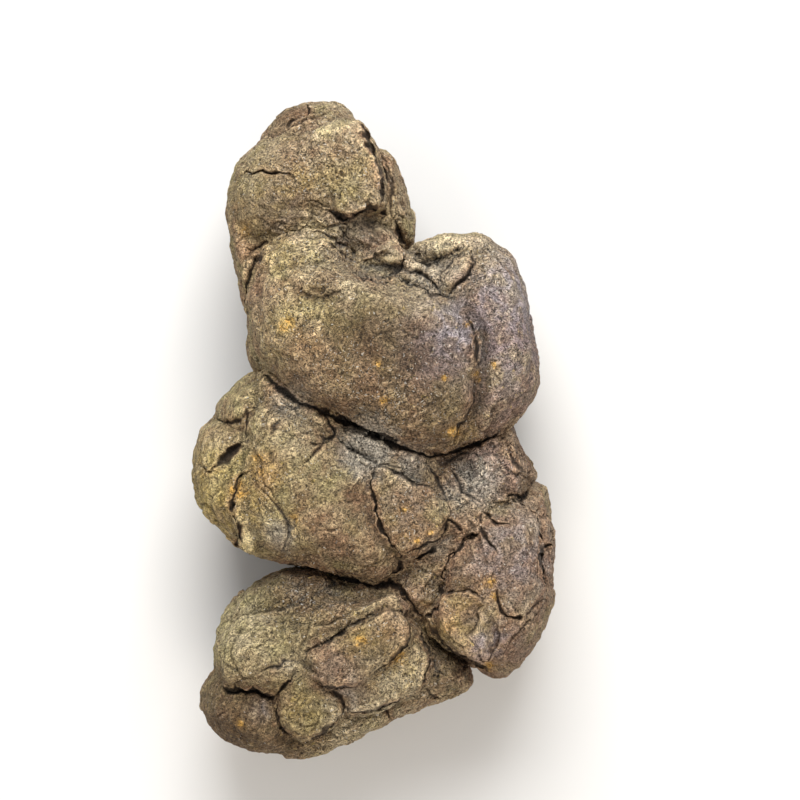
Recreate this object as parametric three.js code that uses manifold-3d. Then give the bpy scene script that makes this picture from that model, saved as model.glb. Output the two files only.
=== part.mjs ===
// A coprolite: a fossil dropping, turned to stone in one piece. It lies on its back on a small flat spot.
// +Z is up, +Y runs along it towards its small end, and the origin is on the flat spot, under the middle
// of its box.
//
// The body is a pile of lumps that were pressed into one another while soft. Each lump is a pillow. Its
// outline, drawn in plan, is its widest level, and above and below that level it closes along a
// superellipse. The lumps are joined into one solid, the cracks are cut into its upper side, and its
// underside is cut flat where it rests.

import * as THREE from "three";
import { mergeVertices } from "three/addons/utils/BufferGeometryUtils.js";
import Module from "manifold-3d";

// Driving dimensions, in millimetres.
const LENGTH = 70.1;
const THICKNESS = 30;

// The plan is drawn from above in drawing units, with x to the right and y towards the broad end.
const DRAWN_LENGTH = 652;
const DRAWN_MIDDLE = [372.5, 429];
const UNIT = LENGTH / DRAWN_LENGTH;

// How finely a lump is meshed: steps around its outline, and steps from its top to its bottom.
const BROAD = { around: 22, across: 10 };
const MIDDLE = { around: 14, across: 6 };
const SMALL = { around: 10, across: 4 };
const CURVE_STEPS = 12;

// Slow waves in the stone, in millimetres, that keep the lumps from looking turned on a lathe. Below the
// waist they grow by SIDE_SWELL for each millimetre down.
const PLAN_SWELL = 0.15;
const HEIGHT_SWELL = 0.25;
const SIDE_SWELL = 0.09;
const WAIST_HEIGHT = 13;

// Each lump has its centre (at) and outline in drawing units. In millimetres it has the height of its widest
// level (mid), how far it rises above that (up) and reaches below it (down), and its lean, which is how much
// it climbs per millimetre towards +X and +Y. A higher power gives a flatter top and a steeper side.

// The buried bodies that the lumps of each tier sit on. They show only at the bottom of the creases.
const CORE_LUMPS = [
  { name: "head_core", mesh: BROAD, at: [312, 205], mid: 12.5,
    up: 8, down: 7, power: 2.3,
    outline: [
      [268, 152], [300, 124], [345, 126], [372, 150], [392, 190], [402, 230], [396, 265], [345, 295],
      [270, 292], [246, 262], [238, 220], [240, 180]] },
  { name: "upper_core", mesh: BROAD, at: [395, 335], mid: 14,
    up: 9.5, down: 10.5, power: 2.4,
    outline: [
      [262, 305], [300, 258], [360, 258], [430, 254], [480, 250], [508, 275], [522, 320], [528, 370],
      [508, 412], [458, 432], [400, 428], [330, 406], [278, 380], [262, 340]] },
  { name: "lower_core", mesh: BROAD, at: [372, 495], mid: 12.5,
    up: 8, down: 9.5, power: 2.6,
    outline: [
      [212, 450], [248, 402], [300, 388], [360, 400], [430, 425], [480, 430], [512, 440], [522, 490],
      [538, 540], [538, 600], [510, 650], [470, 645], [420, 600], [340, 568], [262, 548], [222, 515]] },
  { name: "base_core", mesh: BROAD, at: [335, 650], mid: 11.5,
    up: 7.5, down: 8, power: 2.5,
    outline: [
      [232, 640], [268, 588], [330, 578], [395, 588], [430, 625], [460, 665], [450, 688], [395, 702],
      [335, 735], [270, 742], [222, 722], [215, 685]] },
  { name: "waist_core", mesh: MIDDLE, at: [385, 580], mid: 11.5,
    up: 7.4, down: 7.5, power: 2.3,
    outline: [
      [325, 530], [400, 515], [455, 550], [450, 620], [410, 645], [345, 625], [310, 575]] },
];

// The small end: a blunt knob with a loose chip on it, and the rough neck under it.
const HEAD_LUMPS = [
  { name: "head", mesh: BROAD, at: [308, 190], mid: 13.5,
    up: 10.6, down: 7.5, power: 2.4, lean: [0.03, -0.03],
    outline: [
      [260, 143], [285, 131], [315, 123], [345, 118], [362, 130], [376, 155], [385, 185], [386, 215],
      [374, 240], [345, 254], [300, 258], [262, 252], [238, 234], [228, 206], [234, 172], [246, 155]] },
  { name: "crown", mesh: MIDDLE, at: [316, 145], mid: 11.8,
    up: 7.8, down: 5.5, power: 2.5, lean: [0, -0.08],
    outline: [
      [264, 142], [276, 119], [298, 104], [325, 102], [345, 108], [353, 121], [366, 150], [335, 195],
      [280, 190]] },
  { name: "cheek", mesh: MIDDLE, at: [390, 200], mid: 12.8,
    up: 7.4, down: 5.5, power: 2.4, lean: [-0.22, 0],
    outline: [
      [368, 150], [388, 153], [400, 176], [408, 200], [414, 225], [411, 246], [394, 254], [366, 244],
      [352, 200], [356, 170]] },
  { name: "chip", mesh: MIDDLE, at: [348, 180], mid: 19,
    up: 5.6, down: 4, power: 5, lean: [-0.05, -0.03],
    outline: [
      [316, 138], [348, 125], [364, 129], [376, 154], [385, 185], [385, 208], [373, 216], [356, 223],
      [341, 221], [333, 203], [319, 180]] },
  { name: "neck", mesh: MIDDLE, at: [318, 262], mid: 12.5,
    up: 9, down: 6.5, power: 2.8, lean: [0, -0.05],
    outline: [
      [236, 240], [270, 225], [320, 212], [375, 212], [402, 235], [406, 262], [395, 295], [345, 320],
      [290, 320], [248, 300]] },
  { name: "throat_chip", mesh: SMALL, at: [335, 240], mid: 16,
    up: 5.2, down: 4, power: 5, lean: [0.05, -0.15],
    outline: [
      [305, 234], [330, 225], [353, 228], [365, 244], [351, 259], [321, 257]] },
  { name: "throat_fold", mesh: SMALL, at: [364, 236], mid: 15.5,
    up: 5.6, down: 4, power: 5, lean: [-0.1, -0.06],
    outline: [
      [342, 230], [362, 222], [384, 226], [398, 240], [390, 256], [364, 252], [346, 246]] },
  { name: "throat_side", mesh: SMALL, at: [288, 238], mid: 16,
    up: 5.2, down: 4, power: 5, lean: [-0.05, -0.1],
    outline: [
      [261, 232], [285, 226], [307, 232], [311, 248], [290, 257], [265, 250]] },
  { name: "neck_side", mesh: SMALL, at: [252, 262], mid: 12.8,
    up: 7.6, down: 5, power: 2.4, lean: [0.04, 0],
    outline: [
      [228, 205], [231, 243], [238, 282], [250, 318], [272, 318], [288, 280], [280, 230], [252, 205]] },
  { name: "heel", mesh: SMALL, at: [272, 345], mid: 10.5,
    up: 7, down: 5, power: 2.6,
    outline: [
      [252, 305], [247, 345], [250, 366], [268, 385], [300, 385], [305, 330], [282, 305]] },
];

// The upper tier: one great bean-shaped lump, the lobe beside it, and the folds in the valley above.
const UPPER_LUMPS = [
  { name: "great_lump", mesh: BROAD, at: [374, 350], mid: 17,
    up: THICKNESS - 17, down: 9, power: 2.7,
    outline: [
      [253, 305], [257, 278], [275, 262], [302, 258], [332, 262], [365, 276], [395, 285], [425, 292],
      [455, 297], [476, 314], [486, 345], [487, 385], [480, 425], [455, 449], [425, 454], [392, 443],
      [360, 424], [330, 412], [298, 399], [273, 375], [256, 345]] },
  { name: "great_rim", mesh: MIDDLE, at: [302, 276], mid: 16,
    up: 9.6, down: 7, power: 2.4,
    outline: [
      [250, 312], [252, 278], [256, 254], [276, 236], [306, 224], [338, 228], [358, 248], [366, 285],
      [345, 330], [300, 340]] },
  { name: "right_lobe", mesh: BROAD, at: [485, 340], mid: 15,
    up: 11.2, down: 8, power: 2.7, lean: [-0.05, 0],
    outline: [
      [428, 270], [450, 244], [480, 240], [505, 252], [519, 275], [526, 300], [531, 330], [539, 362],
      [537, 390], [523, 412], [505, 431], [476, 444], [442, 442], [430, 400], [428, 330]] },
  { name: "curl", mesh: SMALL, at: [450, 256], mid: 16,
    up: 7.6, down: 6, power: 3, lean: [0.03, 0.1],
    outline: [
      [406, 258], [420, 244], [452, 236], [484, 238], [498, 258], [484, 274], [460, 262], [436, 258],
      [420, 262]] },
  { name: "curl_ridge", mesh: SMALL, at: [459, 281], mid: 18,
    up: 6.6, down: 4, power: 5, lean: [0.08, -0.02],
    outline: [
      [464, 254], [473, 258], [474, 280], [462, 302], [448, 306], [441, 300], [452, 280]] },
  { name: "fold", mesh: SMALL, at: [418, 276], mid: 17.5,
    up: 5, down: 4, power: 5, lean: [-0.02, 0.08],
    outline: [
      [398, 266], [410, 258], [426, 262], [438, 276], [444, 292], [436, 300], [414, 294], [400, 288]] },
  { name: "wedge", mesh: SMALL, at: [376, 264], mid: 18,
    up: 5.2, down: 4, power: 5, lean: [-0.02, 0.1],
    outline: [
      [346, 266], [368, 252], [392, 243], [405, 256], [400, 268], [386, 282], [366, 286], [350, 280]] },
];

// The lower tier: a long body, lobes to its left, plates and a slab to its right.
const LOWER_LUMPS = [
  { name: "long_body", mesh: BROAD, at: [314, 488], mid: 15,
    up: 10.6, down: 8, power: 2.8,
    outline: [
      [246, 405], [268, 388], [300, 398], [335, 422], [360, 446], [380, 463], [377, 485], [377, 508],
      [386, 530], [398, 550], [404, 562], [397, 577], [372, 581], [340, 574], [308, 566], [283, 562],
      [255, 552], [240, 530], [236, 500], [240, 465], [244, 430]] },
  { name: "left_lobe", mesh: MIDDLE, at: [228, 480], mid: 12.5,
    up: 9.8, down: 6.5, power: 2.3, lean: [0.1, 0],
    outline: [
      [205, 424], [228, 417], [255, 420], [272, 455], [268, 500], [256, 552], [238, 546], [225, 533],
      [205, 515], [196, 490], [193, 465], [197, 440]] },
  { name: "lobe_plate", mesh: SMALL, at: [245, 510], mid: 17.5,
    up: 5.6, down: 4, power: 4, lean: [-0.05, 0],
    outline: [
      [236, 476], [258, 467], [276, 480], [273, 515], [263, 549], [246, 548], [239, 532], [235, 505]] },
  { name: "left_shoulder", mesh: MIDDLE, at: [258, 408], mid: 13,
    up: 8.6, down: 6, power: 2.3, lean: [0.1, -0.04],
    outline: [
      [265, 372], [245, 378], [228, 393], [217, 411], [222, 427], [240, 440], [275, 445], [300, 412],
      [290, 385]] },
  { name: "grey_shoulder", mesh: MIDDLE, at: [300, 422], mid: 15,
    up: 8.6, down: 6, power: 2.8, lean: [0, 0.05],
    outline: [
      [262, 372], [300, 376], [345, 405], [362, 430], [345, 452], [300, 460], [262, 450], [250, 420]] },
  { name: "mid_band", mesh: MIDDLE, at: [420, 495], mid: 13,
    up: 9, down: 6, power: 3.2, lean: [-0.02, -0.02],
    outline: [
      [330, 425], [380, 425], [440, 445], [470, 480], [492, 510], [485, 545], [455, 560], [420, 580],
      [390, 570], [360, 520], [345, 470]] },
  { name: "strap", mesh: SMALL, at: [388, 455], mid: 17,
    up: 5.8, down: 4, power: 5, lean: [-0.05, 0.05],
    outline: [
      [329, 425], [369, 429], [411, 439], [438, 456], [447, 479], [436, 492], [411, 483], [385, 472],
      [353, 464], [336, 448]] },
  { name: "heart", mesh: MIDDLE, at: [407, 508], mid: 18.5,
    up: 5.7, down: 4, power: 5, lean: [-0.1, -0.02],
    outline: [
      [379, 462], [395, 465], [415, 479], [438, 488], [445, 505], [442, 526], [437, 543], [421, 552],
      [402, 558], [389, 544], [377, 521], [370, 494], [370, 476]] },
  { name: "hollow", mesh: MIDDLE, at: [470, 470], mid: 13,
    up: 7.6, down: 6, power: 3, lean: [0, -0.06],
    outline: [
      [415, 430], [470, 425], [505, 420], [520, 455], [520, 510], [480, 530], [445, 500]] },
  { name: "hollow_chip", mesh: SMALL, at: [462, 508], mid: 16.5,
    up: 5.3, down: 4, power: 5, lean: [0, -0.05],
    outline: [
      [439, 489], [462, 483], [486, 500], [487, 523], [466, 535], [445, 531]] },
  { name: "right_shoulder", mesh: MIDDLE, at: [506, 464], mid: 12,
    up: 8.5, down: 6, power: 2.6, lean: [-0.12, 0],
    outline: [
      [484, 432], [508, 424], [520, 444], [530, 462], [535, 475], [527, 485], [520, 510], [488, 515],
      [472, 480], [474, 450]] },
  { name: "slab", mesh: BROAD, at: [490, 580], mid: 14,
    up: 9.8, down: 7, power: 3, lean: [-0.06, 0.02],
    outline: [
      [478, 508], [505, 497], [530, 500], [541, 512], [544, 560], [546, 600], [534, 640], [508, 668],
      [482, 662], [448, 648], [428, 628], [424, 612], [436, 598], [438, 575], [446, 552], [460, 533],
      [476, 528]] },
  { name: "edge_strip", mesh: SMALL, at: [535, 555], mid: 12.5,
    up: 6.8, down: 5.5, power: 2.4, lean: [-0.2, 0],
    outline: [
      [515, 492], [540, 484], [548, 495], [551, 530], [553, 560], [552, 590], [546, 618], [530, 635],
      [512, 590], [510, 530]] },
  { name: "slab_foot", mesh: MIDDLE, at: [505, 628], mid: 11.5,
    up: 8.8, down: 6.5, power: 2.4, lean: [-0.1, 0],
    outline: [
      [500, 590], [552, 588], [546, 618], [531, 650], [516, 668], [500, 680], [480, 672], [458, 652],
      [455, 615], [470, 590]] },
  { name: "disc", mesh: MIDDLE, at: [468, 618], mid: 18.5,
    up: 5.5, down: 4, power: 5, lean: [-0.1, -0.08],
    outline: [
      [449, 589], [468, 585], [486, 596], [495, 618], [497, 641], [486, 656], [465, 650], [449, 636],
      [436, 616], [436, 599]] },
  { name: "crumb", mesh: SMALL, at: [418, 582], mid: 14,
    up: 6.2, down: 5, power: 3,
    outline: [
      [394, 566], [415, 552], [438, 560], [450, 586], [438, 606], [424, 612], [402, 604], [386, 585]] },
];

// The broad end: rolls and plates over a low mass, with a foot at the left.
const BASE_LUMPS = [
  { name: "low_ridge", mesh: MIDDLE, at: [310, 605], mid: 13,
    up: 8.4, down: 6, power: 2.8,
    outline: [
      [222, 620], [240, 597], [264, 578], [285, 567], [312, 566], [345, 576], [378, 581], [402, 595],
      [410, 620], [380, 650], [300, 655], [232, 650]] },
  { name: "low_left", mesh: MIDDLE, at: [272, 650], mid: 13.5,
    up: 10.3, down: 7, power: 2.6, lean: [0.06, 0.03],
    outline: [
      [226, 622], [245, 606], [280, 603], [315, 610], [330, 640], [322, 672], [300, 694], [278, 698],
      [250, 690], [222, 682], [214, 656], [218, 634]] },
  { name: "foot", mesh: MIDDLE, at: [248, 710], mid: 11.5,
    up: 9.6, down: 6.5, power: 2.2, lean: [0.08, 0.08],
    outline: [
      [205, 684], [225, 664], [265, 668], [294, 690], [306, 722], [300, 740], [285, 752], [262, 753],
      [236, 746], [216, 734], [203, 712], [202, 695]] },
  { name: "tear", mesh: MIDDLE, at: [310, 700], mid: 16.6,
    up: 5.8, down: 4, power: 4.5, lean: [0, 0.12],
    outline: [
      [300, 664], [323, 666], [339, 687], [344, 706], [328, 727], [309, 738], [291, 729], [278, 712],
      [277, 694], [285, 678]] },
  { name: "low_mass", mesh: MIDDLE, at: [362, 652], mid: 14,
    up: 8.8, down: 6.5, power: 3, lean: [0, -0.01],
    outline: [
      [290, 620], [320, 598], [365, 596], [398, 590], [414, 612], [430, 642], [434, 668], [424, 684],
      [402, 698], [372, 710], [345, 712], [315, 700], [295, 670]] },
  { name: "roll", mesh: MIDDLE, at: [358, 643], mid: 18.5,
    up: 6.1, down: 5, power: 5, lean: [-0.02, 0],
    outline: [
      [320, 641], [350, 622], [386, 602], [404, 608], [412, 624], [409, 640], [397, 652], [381, 666],
      [344, 683], [326, 683], [312, 669], [304, 652]] },
  { name: "roll_back", mesh: SMALL, at: [350, 616], mid: 17.5,
    up: 5.8, down: 5, power: 5, lean: [0, 0.03],
    outline: [
      [293, 614], [327, 599], [366, 598], [396, 590], [411, 606], [397, 612], [352, 631], [321, 646],
      [300, 652]] },
  { name: "roll_front", mesh: SMALL, at: [388, 672], mid: 16.4,
    up: 5.6, down: 5, power: 4.5, lean: [-0.07, 0.08],
    outline: [
      [331, 683], [369, 664], [398, 642], [416, 638], [430, 654], [433, 668], [424, 681], [401, 696],
      [374, 708], [348, 708], [336, 695]] },
  { name: "hem", mesh: MIDDLE, at: [348, 722], mid: 10.5,
    up: 8.1, down: 5.5, power: 2.4,
    outline: [
      [278, 738], [310, 705], [345, 690], [385, 690], [414, 692], [418, 703], [386, 725], [350, 743],
      [315, 755], [284, 757]] },
  { name: "hem_right", mesh: MIDDLE, at: [430, 668], mid: 11,
    up: 7.1, down: 5.5, power: 2.6,
    outline: [
      [385, 640], [415, 610], [440, 638], [465, 660], [475, 680], [470, 690], [440, 701], [405, 713],
      [380, 710], [372, 680]] },
];

// The underside: fewer, softer lumps. Three of them reach down to the flat spot.
const BACK_LUMPS = [
  { name: "back_head", mesh: MIDDLE, at: [315, 200], mid: 11.5,
    up: 5, down: 7, power: 2.2,
    outline: [
      [250, 165], [285, 135], [330, 120], [365, 140], [385, 185], [392, 225], [375, 262], [320, 280],
      [262, 270], [240, 235], [238, 195]] },
  { name: "back_neck", mesh: MIDDLE, at: [325, 280], mid: 11,
    up: 5, down: 7.5, power: 2.3,
    outline: [
      [250, 250], [300, 240], [370, 240], [400, 262], [400, 300], [340, 330], [280, 325], [255, 300]] },
  { name: "back_great", mesh: BROAD, at: [360, 350], mid: 13,
    up: 5, down: 14.1, power: 2.3,
    outline: [
      [262, 310], [300, 280], [370, 272], [430, 290], [455, 330], [450, 390], [420, 430], [360, 425],
      [305, 400], [268, 360]] },
  { name: "back_lobe", mesh: MIDDLE, at: [478, 345], mid: 12.5,
    up: 5, down: 12, power: 2.3,
    outline: [
      [430, 270], [470, 250], [505, 262], [520, 300], [528, 350], [528, 390], [505, 420], [460, 435],
      [430, 400], [420, 330]] },
  { name: "back_left", mesh: BROAD, at: [290, 480], mid: 11.5,
    up: 5, down: 12.6, power: 2.3,
    outline: [
      [215, 430], [250, 400], [300, 405], [345, 430], [370, 470], [370, 520], [340, 560], [285, 555],
      [240, 535], [210, 500]] },
  { name: "back_mid", mesh: MIDDLE, at: [408, 500], mid: 11,
    up: 5, down: 12, power: 2.4,
    outline: [
      [345, 430], [400, 430], [450, 445], [470, 490], [455, 540], [410, 575], [365, 560], [345, 500]] },
  { name: "back_right", mesh: MIDDLE, at: [490, 550], mid: 11,
    up: 5, down: 9.5, power: 2.3,
    outline: [
      [450, 450], [500, 440], [525, 480], [540, 540], [538, 590], [520, 640], [480, 650], [450, 600],
      [435, 520]] },
  { name: "back_foot", mesh: MIDDLE, at: [310, 660], mid: 11,
    up: 5, down: 9.3, power: 2.3,
    outline: [
      [225, 650], [260, 600], [320, 585], [380, 595], [400, 640], [380, 690], [320, 725], [260, 735],
      [220, 710]] },
  { name: "back_hem", mesh: MIDDLE, at: [410, 655], mid: 9.5,
    up: 5, down: 6.5, power: 2.3,
    outline: [
      [380, 600], [420, 610], [455, 665], [460, 685], [420, 695], [370, 705], [350, 660]] },
];

const LUMPS = [
  ...CORE_LUMPS, ...HEAD_LUMPS, ...UPPER_LUMPS, ...LOWER_LUMPS, ...BASE_LUMPS, ...BACK_LUMPS,
];

// The deep cracks and creases. Each has a route in drawing units, and its greatest width and its depth in
// millimetres.
const CRACKS = [
  { name: "chip_edge", width: 1.0, depth: 1.3,
    route: [[360, 128], [374, 155], [382, 175], [384, 210]] },
  { name: "chip_lip", width: 1.4, depth: 1.5,
    route: [[334, 218], [345, 224], [362, 219], [380, 217]] },
  { name: "neck_side_crack", width: 1.2, depth: 1.4,
    route: [[269, 226], [263, 250], [256, 280], [248, 312]] },
  { name: "lobe_groove", width: 1.6, depth: 1.2,
    route: [[456, 300], [477, 335], [475, 385], [453, 444]] },
  { name: "left_pit", width: 2.6, depth: 2.2,
    route: [[248, 438], [238, 450], [222, 468]] },
  { name: "left_crack", width: 1.2, depth: 1.4,
    route: [[250, 468], [237, 485], [236, 515], [240, 546]] },
  { name: "body_edge", width: 1.2, depth: 1.5,
    route: [[379, 460], [371, 490], [381, 522], [404, 562]] },
  { name: "strap_edge", width: 1.0, depth: 1.0,
    route: [[345, 443], [385, 466], [438, 491]] },
  { name: "slab_edge", width: 1.3, depth: 1.6,
    route: [[440, 602], [444, 570], [464, 534], [496, 554]] },
  { name: "slab_crack", width: 0.9, depth: 0.9,
    route: [[495, 584], [500, 604], [518, 612]] },
  { name: "strip_edge", width: 0.9, depth: 0.9,
    route: [[539, 505], [541, 560], [547, 600]] },
  { name: "foot_crack", width: 1.4, depth: 1.8,
    route: [[226, 684], [255, 687], [280, 692], [300, 658]] },
  { name: "roll_edge", width: 1.0, depth: 0.9,
    route: [[306, 652], [322, 641], [350, 624], [386, 604]] },
  { name: "roll_foot", width: 1.0, depth: 0.8,
    route: [[340, 681], [372, 668], [406, 642]] },
];

// A crack's cutter: points along its route, how narrow it is at its floor and its ends, and, in millimetres,
// how far it stands clear of the surface, and the height it keeps where it runs out over the rim.
const CRACK_STEPS = 6;
const FLOOR_SHARE = 0.25;
const END_SHARE = 0.2;
const CUTTER_CLEARANCE = 4;
const RIM_HEIGHT = 12;

// The slab below the resting plane that cuts the flat spot, in millimetres.
const CUT_SIZE = 100;

const STONE_COLOUR = 0x7a6a54;
const STONE_ROUGHNESS = 0.92;

const wasm = await Module();
wasm.setup();

/** A point of the drawing as a point of the plan, in millimetres. */
function plan([x, y]) {
  return new THREE.Vector3((x - DRAWN_MIDDLE[0]) * UNIT, (DRAWN_MIDDLE[1] - y) * UNIT, 0);
}

/** A lump with its centre in millimetres and its outline as angles and radii around it, in turn. */
function readLump(drawn) {
  const centre = plan(drawn.at);
  const curve = new THREE.CatmullRomCurve3(drawn.outline.map(plan), true, "catmullrom", 0.5);
  const points = curve.getPoints(drawn.outline.length * CURVE_STEPS).slice(1);
  const spokes = points.map((point) => {
    const spoke = point.clone().sub(centre);
    return { angle: Math.atan2(spoke.y, spoke.x), radius: Math.hypot(spoke.x, spoke.y) };
  });
  spokes.sort((a, b) => a.angle - b.angle);
  const first = spokes[0];
  const last = spokes.at(-1);
  spokes.push({ angle: first.angle + 2 * Math.PI, radius: first.radius });
  spokes.unshift({ angle: last.angle - 2 * Math.PI, radius: last.radius });
  return { lean: [0, 0], ...drawn, centre, spokes };
}

/** The outline's distance from the lump's centre in the direction of an angle. */
function radiusAt(lump, angle) {
  const next = lump.spokes.findIndex((spoke) => spoke.angle > angle);
  const a = lump.spokes[next - 1];
  const b = lump.spokes[next];
  return THREE.MathUtils.mapLinear(angle, a.angle, b.angle, a.radius, b.radius);
}

/** The slow waves of the stone at a point: how far the point is pushed along each axis. */
function swellAt(point) {
  const swell = PLAN_SWELL + SIDE_SWELL * Math.max(0, WAIST_HEIGHT - point.z);
  return new THREE.Vector3(
    swell * Math.sin(point.y / 2.4 + 0.8) * Math.cos(point.z / 3.1 + 0.4),
    swell * Math.sin(point.x / 2.2 + 2.1) * Math.cos(point.z / 2.9 + 1.7),
    HEIGHT_SWELL * Math.sin(point.x / 1.9 + 4.0) * Math.sin(point.y / 2.3 + 0.2),
  );
}

/** The height of a lump's upper side over a point of the plan, or -Infinity outside its outline. */
function lumpTop(lump, x, y) {
  const dx = x - lump.centre.x;
  const dy = y - lump.centre.y;
  const share = Math.hypot(dx, dy) / radiusAt(lump, Math.atan2(dy, dx));
  if (share >= 1) return -Infinity;
  const rise = lump.up * (1 - share ** lump.power) ** (1 / lump.power);
  return lump.mid + lump.lean[0] * dx + lump.lean[1] * dy + rise;
}

/** A closed geometry as a solid. */
function toSolid(geometry) {
  geometry.deleteAttribute("normal");
  geometry.deleteAttribute("uv");
  const merged = mergeVertices(geometry);
  return new wasm.Manifold(new wasm.Mesh({
    numProp: 3,
    vertProperties: new Float32Array(merged.attributes.position.array),
    triVerts: new Uint32Array(merged.index.array),
  }));
}

/** Moves every vertex of a geometry to where a function of its place says. */
function moveVertices(geometry, target) {
  const position = geometry.attributes.position;
  const point = new THREE.Vector3();
  for (let i = 0; i < position.count; i += 1) {
    point.fromBufferAttribute(position, i);
    const moved = target(point);
    position.setXYZ(i, moved.x, moved.y, moved.z);
  }
  return geometry;
}

/** One lump: a unit sphere whose level circles become copies of the outline, then swollen by the waves. */
function lumpSolid(lump) {
  const sphere = new THREE.SphereGeometry(1, lump.mesh.around, lump.mesh.across);
  sphere.rotateX(Math.PI / 2);
  moveVertices(sphere, (point) => {
    const angle = Math.atan2(point.y, point.x);
    const share = Math.hypot(point.x, point.y) ** (2 / lump.power);
    const rise = Math.sign(point.z) * Math.abs(point.z) ** (2 / lump.power);
    const reach = share * radiusAt(lump, angle);
    const dx = reach * Math.cos(angle);
    const dy = reach * Math.sin(angle);
    const height = lump.mid + lump.lean[0] * dx + lump.lean[1] * dy
      + rise * (rise > 0 ? lump.up : lump.down);
    const moved = new THREE.Vector3(lump.centre.x + dx, lump.centre.y + dy, height);
    return moved.add(swellAt(moved));
  });
  return toSolid(sphere);
}

/** A crack's cutter: a ribbon along the route, with tapered ends and a narrow floor below the surface. */
function crackSolid(crack, lumps) {
  const curve = new THREE.CatmullRomCurve3(crack.route.map(plan), false, "catmullrom", 0.5);
  const spine = curve.getPoints(CRACK_STEPS);
  const left = [];
  const right = [];
  spine.forEach((point, i) => {
    const t = i / CRACK_STEPS;
    const across = curve.getTangent(t).cross(new THREE.Vector3(0, 0, 1));
    const half = crack.width / 2 * (END_SHARE + (1 - END_SHARE) * Math.sin(Math.PI * t));
    left.push(point.clone().addScaledVector(across, -half));
    right.push(point.clone().addScaledVector(across, half));
  });
  const ribbon = new THREE.Shape([...right, ...left.reverse()].map((p) => new THREE.Vector2(p.x, p.y)));
  const cutter = new THREE.ExtrudeGeometry(ribbon, { depth: 1, bevelEnabled: false });
  moveVertices(cutter, (point) => {
    const middle = spine.reduce((best, p) => (
      Math.hypot(p.x - point.x, p.y - point.y) < Math.hypot(best.x - point.x, best.y - point.y) ? p : best));
    const surface = Math.max(RIM_HEIGHT, ...lumps.map((lump) => lumpTop(lump, middle.x, middle.y)));
    if (point.z > 0.5) return new THREE.Vector3(point.x, point.y, surface + CUTTER_CLEARANCE);
    const floor = new THREE.Vector3(point.x, point.y, 0).lerp(middle.clone().setZ(0), 1 - FLOOR_SHARE);
    return floor.setZ(surface - crack.depth);
  });
  return toSolid(cutter);
}

/** The whole stone as a geometry: the lumps joined, the cracks cut, and the flat spot cut below. */
function coproliteGeometry() {
  const lumps = LUMPS.map(readLump);
  let stone = lumps.map(lumpSolid).reduce((sum, lump) => sum.add(lump));
  for (const crack of CRACKS) {
    stone = stone.subtract(crackSolid(crack, lumps));
  }
  const below = new THREE.BoxGeometry(CUT_SIZE, CUT_SIZE, CUT_SIZE).translate(0, 0, -CUT_SIZE / 2);
  stone = stone.subtract(toSolid(below));
  const mesh = stone.getMesh();
  const geometry = new THREE.BufferGeometry();
  geometry.setAttribute("position", new THREE.BufferAttribute(mesh.vertProperties, 3));
  geometry.setIndex(new THREE.BufferAttribute(mesh.triVerts, 1));
  geometry.computeVertexNormals();
  return geometry;
}

const stoneMaterial = new THREE.MeshStandardMaterial({
  color: STONE_COLOUR, roughness: STONE_ROUGHNESS, metalness: 0,
});
const coprolite = new THREE.Mesh(coproliteGeometry(), stoneMaterial);
coprolite.name = "coprolite";

const model = new THREE.Group();
model.add(coprolite);

export default model;
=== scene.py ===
"""A coprolite: one piece of lumpy fossil stone, lying on its back on a small flat spot.

The stone is built as five tiers pressed into each other: the small end, the upper tier, the lower tier, its
slab side and the broad end. Each tier is one closed surface, and its lumps are the same pillows as in the
solid model. A net of rings is laid on the lumps and evened out. Then the relief, ledges, cracks, furrows,
flakes and pits are carved into it, and every point keeps the marks that the finish asks for, such as how
deep in a hollow it lies and how much dust is there.
"""

import math

import bpy
import numpy as np
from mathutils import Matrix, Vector


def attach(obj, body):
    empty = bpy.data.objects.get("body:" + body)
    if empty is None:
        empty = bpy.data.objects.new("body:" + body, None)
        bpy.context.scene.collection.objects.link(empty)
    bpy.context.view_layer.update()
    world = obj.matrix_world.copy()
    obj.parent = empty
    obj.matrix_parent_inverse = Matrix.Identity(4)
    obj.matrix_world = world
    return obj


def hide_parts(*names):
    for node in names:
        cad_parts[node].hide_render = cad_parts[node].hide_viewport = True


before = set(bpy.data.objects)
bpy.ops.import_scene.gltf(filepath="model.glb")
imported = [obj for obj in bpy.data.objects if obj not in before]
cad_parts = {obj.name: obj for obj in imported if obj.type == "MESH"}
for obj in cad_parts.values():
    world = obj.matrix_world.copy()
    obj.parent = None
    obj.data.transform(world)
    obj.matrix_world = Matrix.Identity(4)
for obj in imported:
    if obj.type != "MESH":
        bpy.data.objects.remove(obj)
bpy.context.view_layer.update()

# Sizes in millimetres. The plan is drawn from above in drawing units, x to the right and y downwards.
LENGTH = 70.1
DRAWN_LENGTH = 652
DRAWN_MIDDLE = (372.5, 429)
UNIT = LENGTH / DRAWN_LENGTH
MM = 0.001

# The slow waves of the stone, as in the solid model.
PLAN_SWELL = 0.15
HEIGHT_SWELL = 0.25
SIDE_SWELL = 0.09
WAIST_HEIGHT = 13

# How softly two lumps meet at the bottom of a crease.
CREASE_BLEND = 0.3

# In how many straight steps an outline or a route goes from one of its drawn points to the next.
OUTLINE_STEPS, ROUTE_STEPS = 12, 6


# ---------------------------------------------------------------- drawing

def plan(points):
    """Points of the drawing as points of the plan: (drawn - middle) * unit, with y turned upwards."""
    return (np.asarray(points, float) - DRAWN_MIDDLE) * (UNIT, -UNIT)


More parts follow.
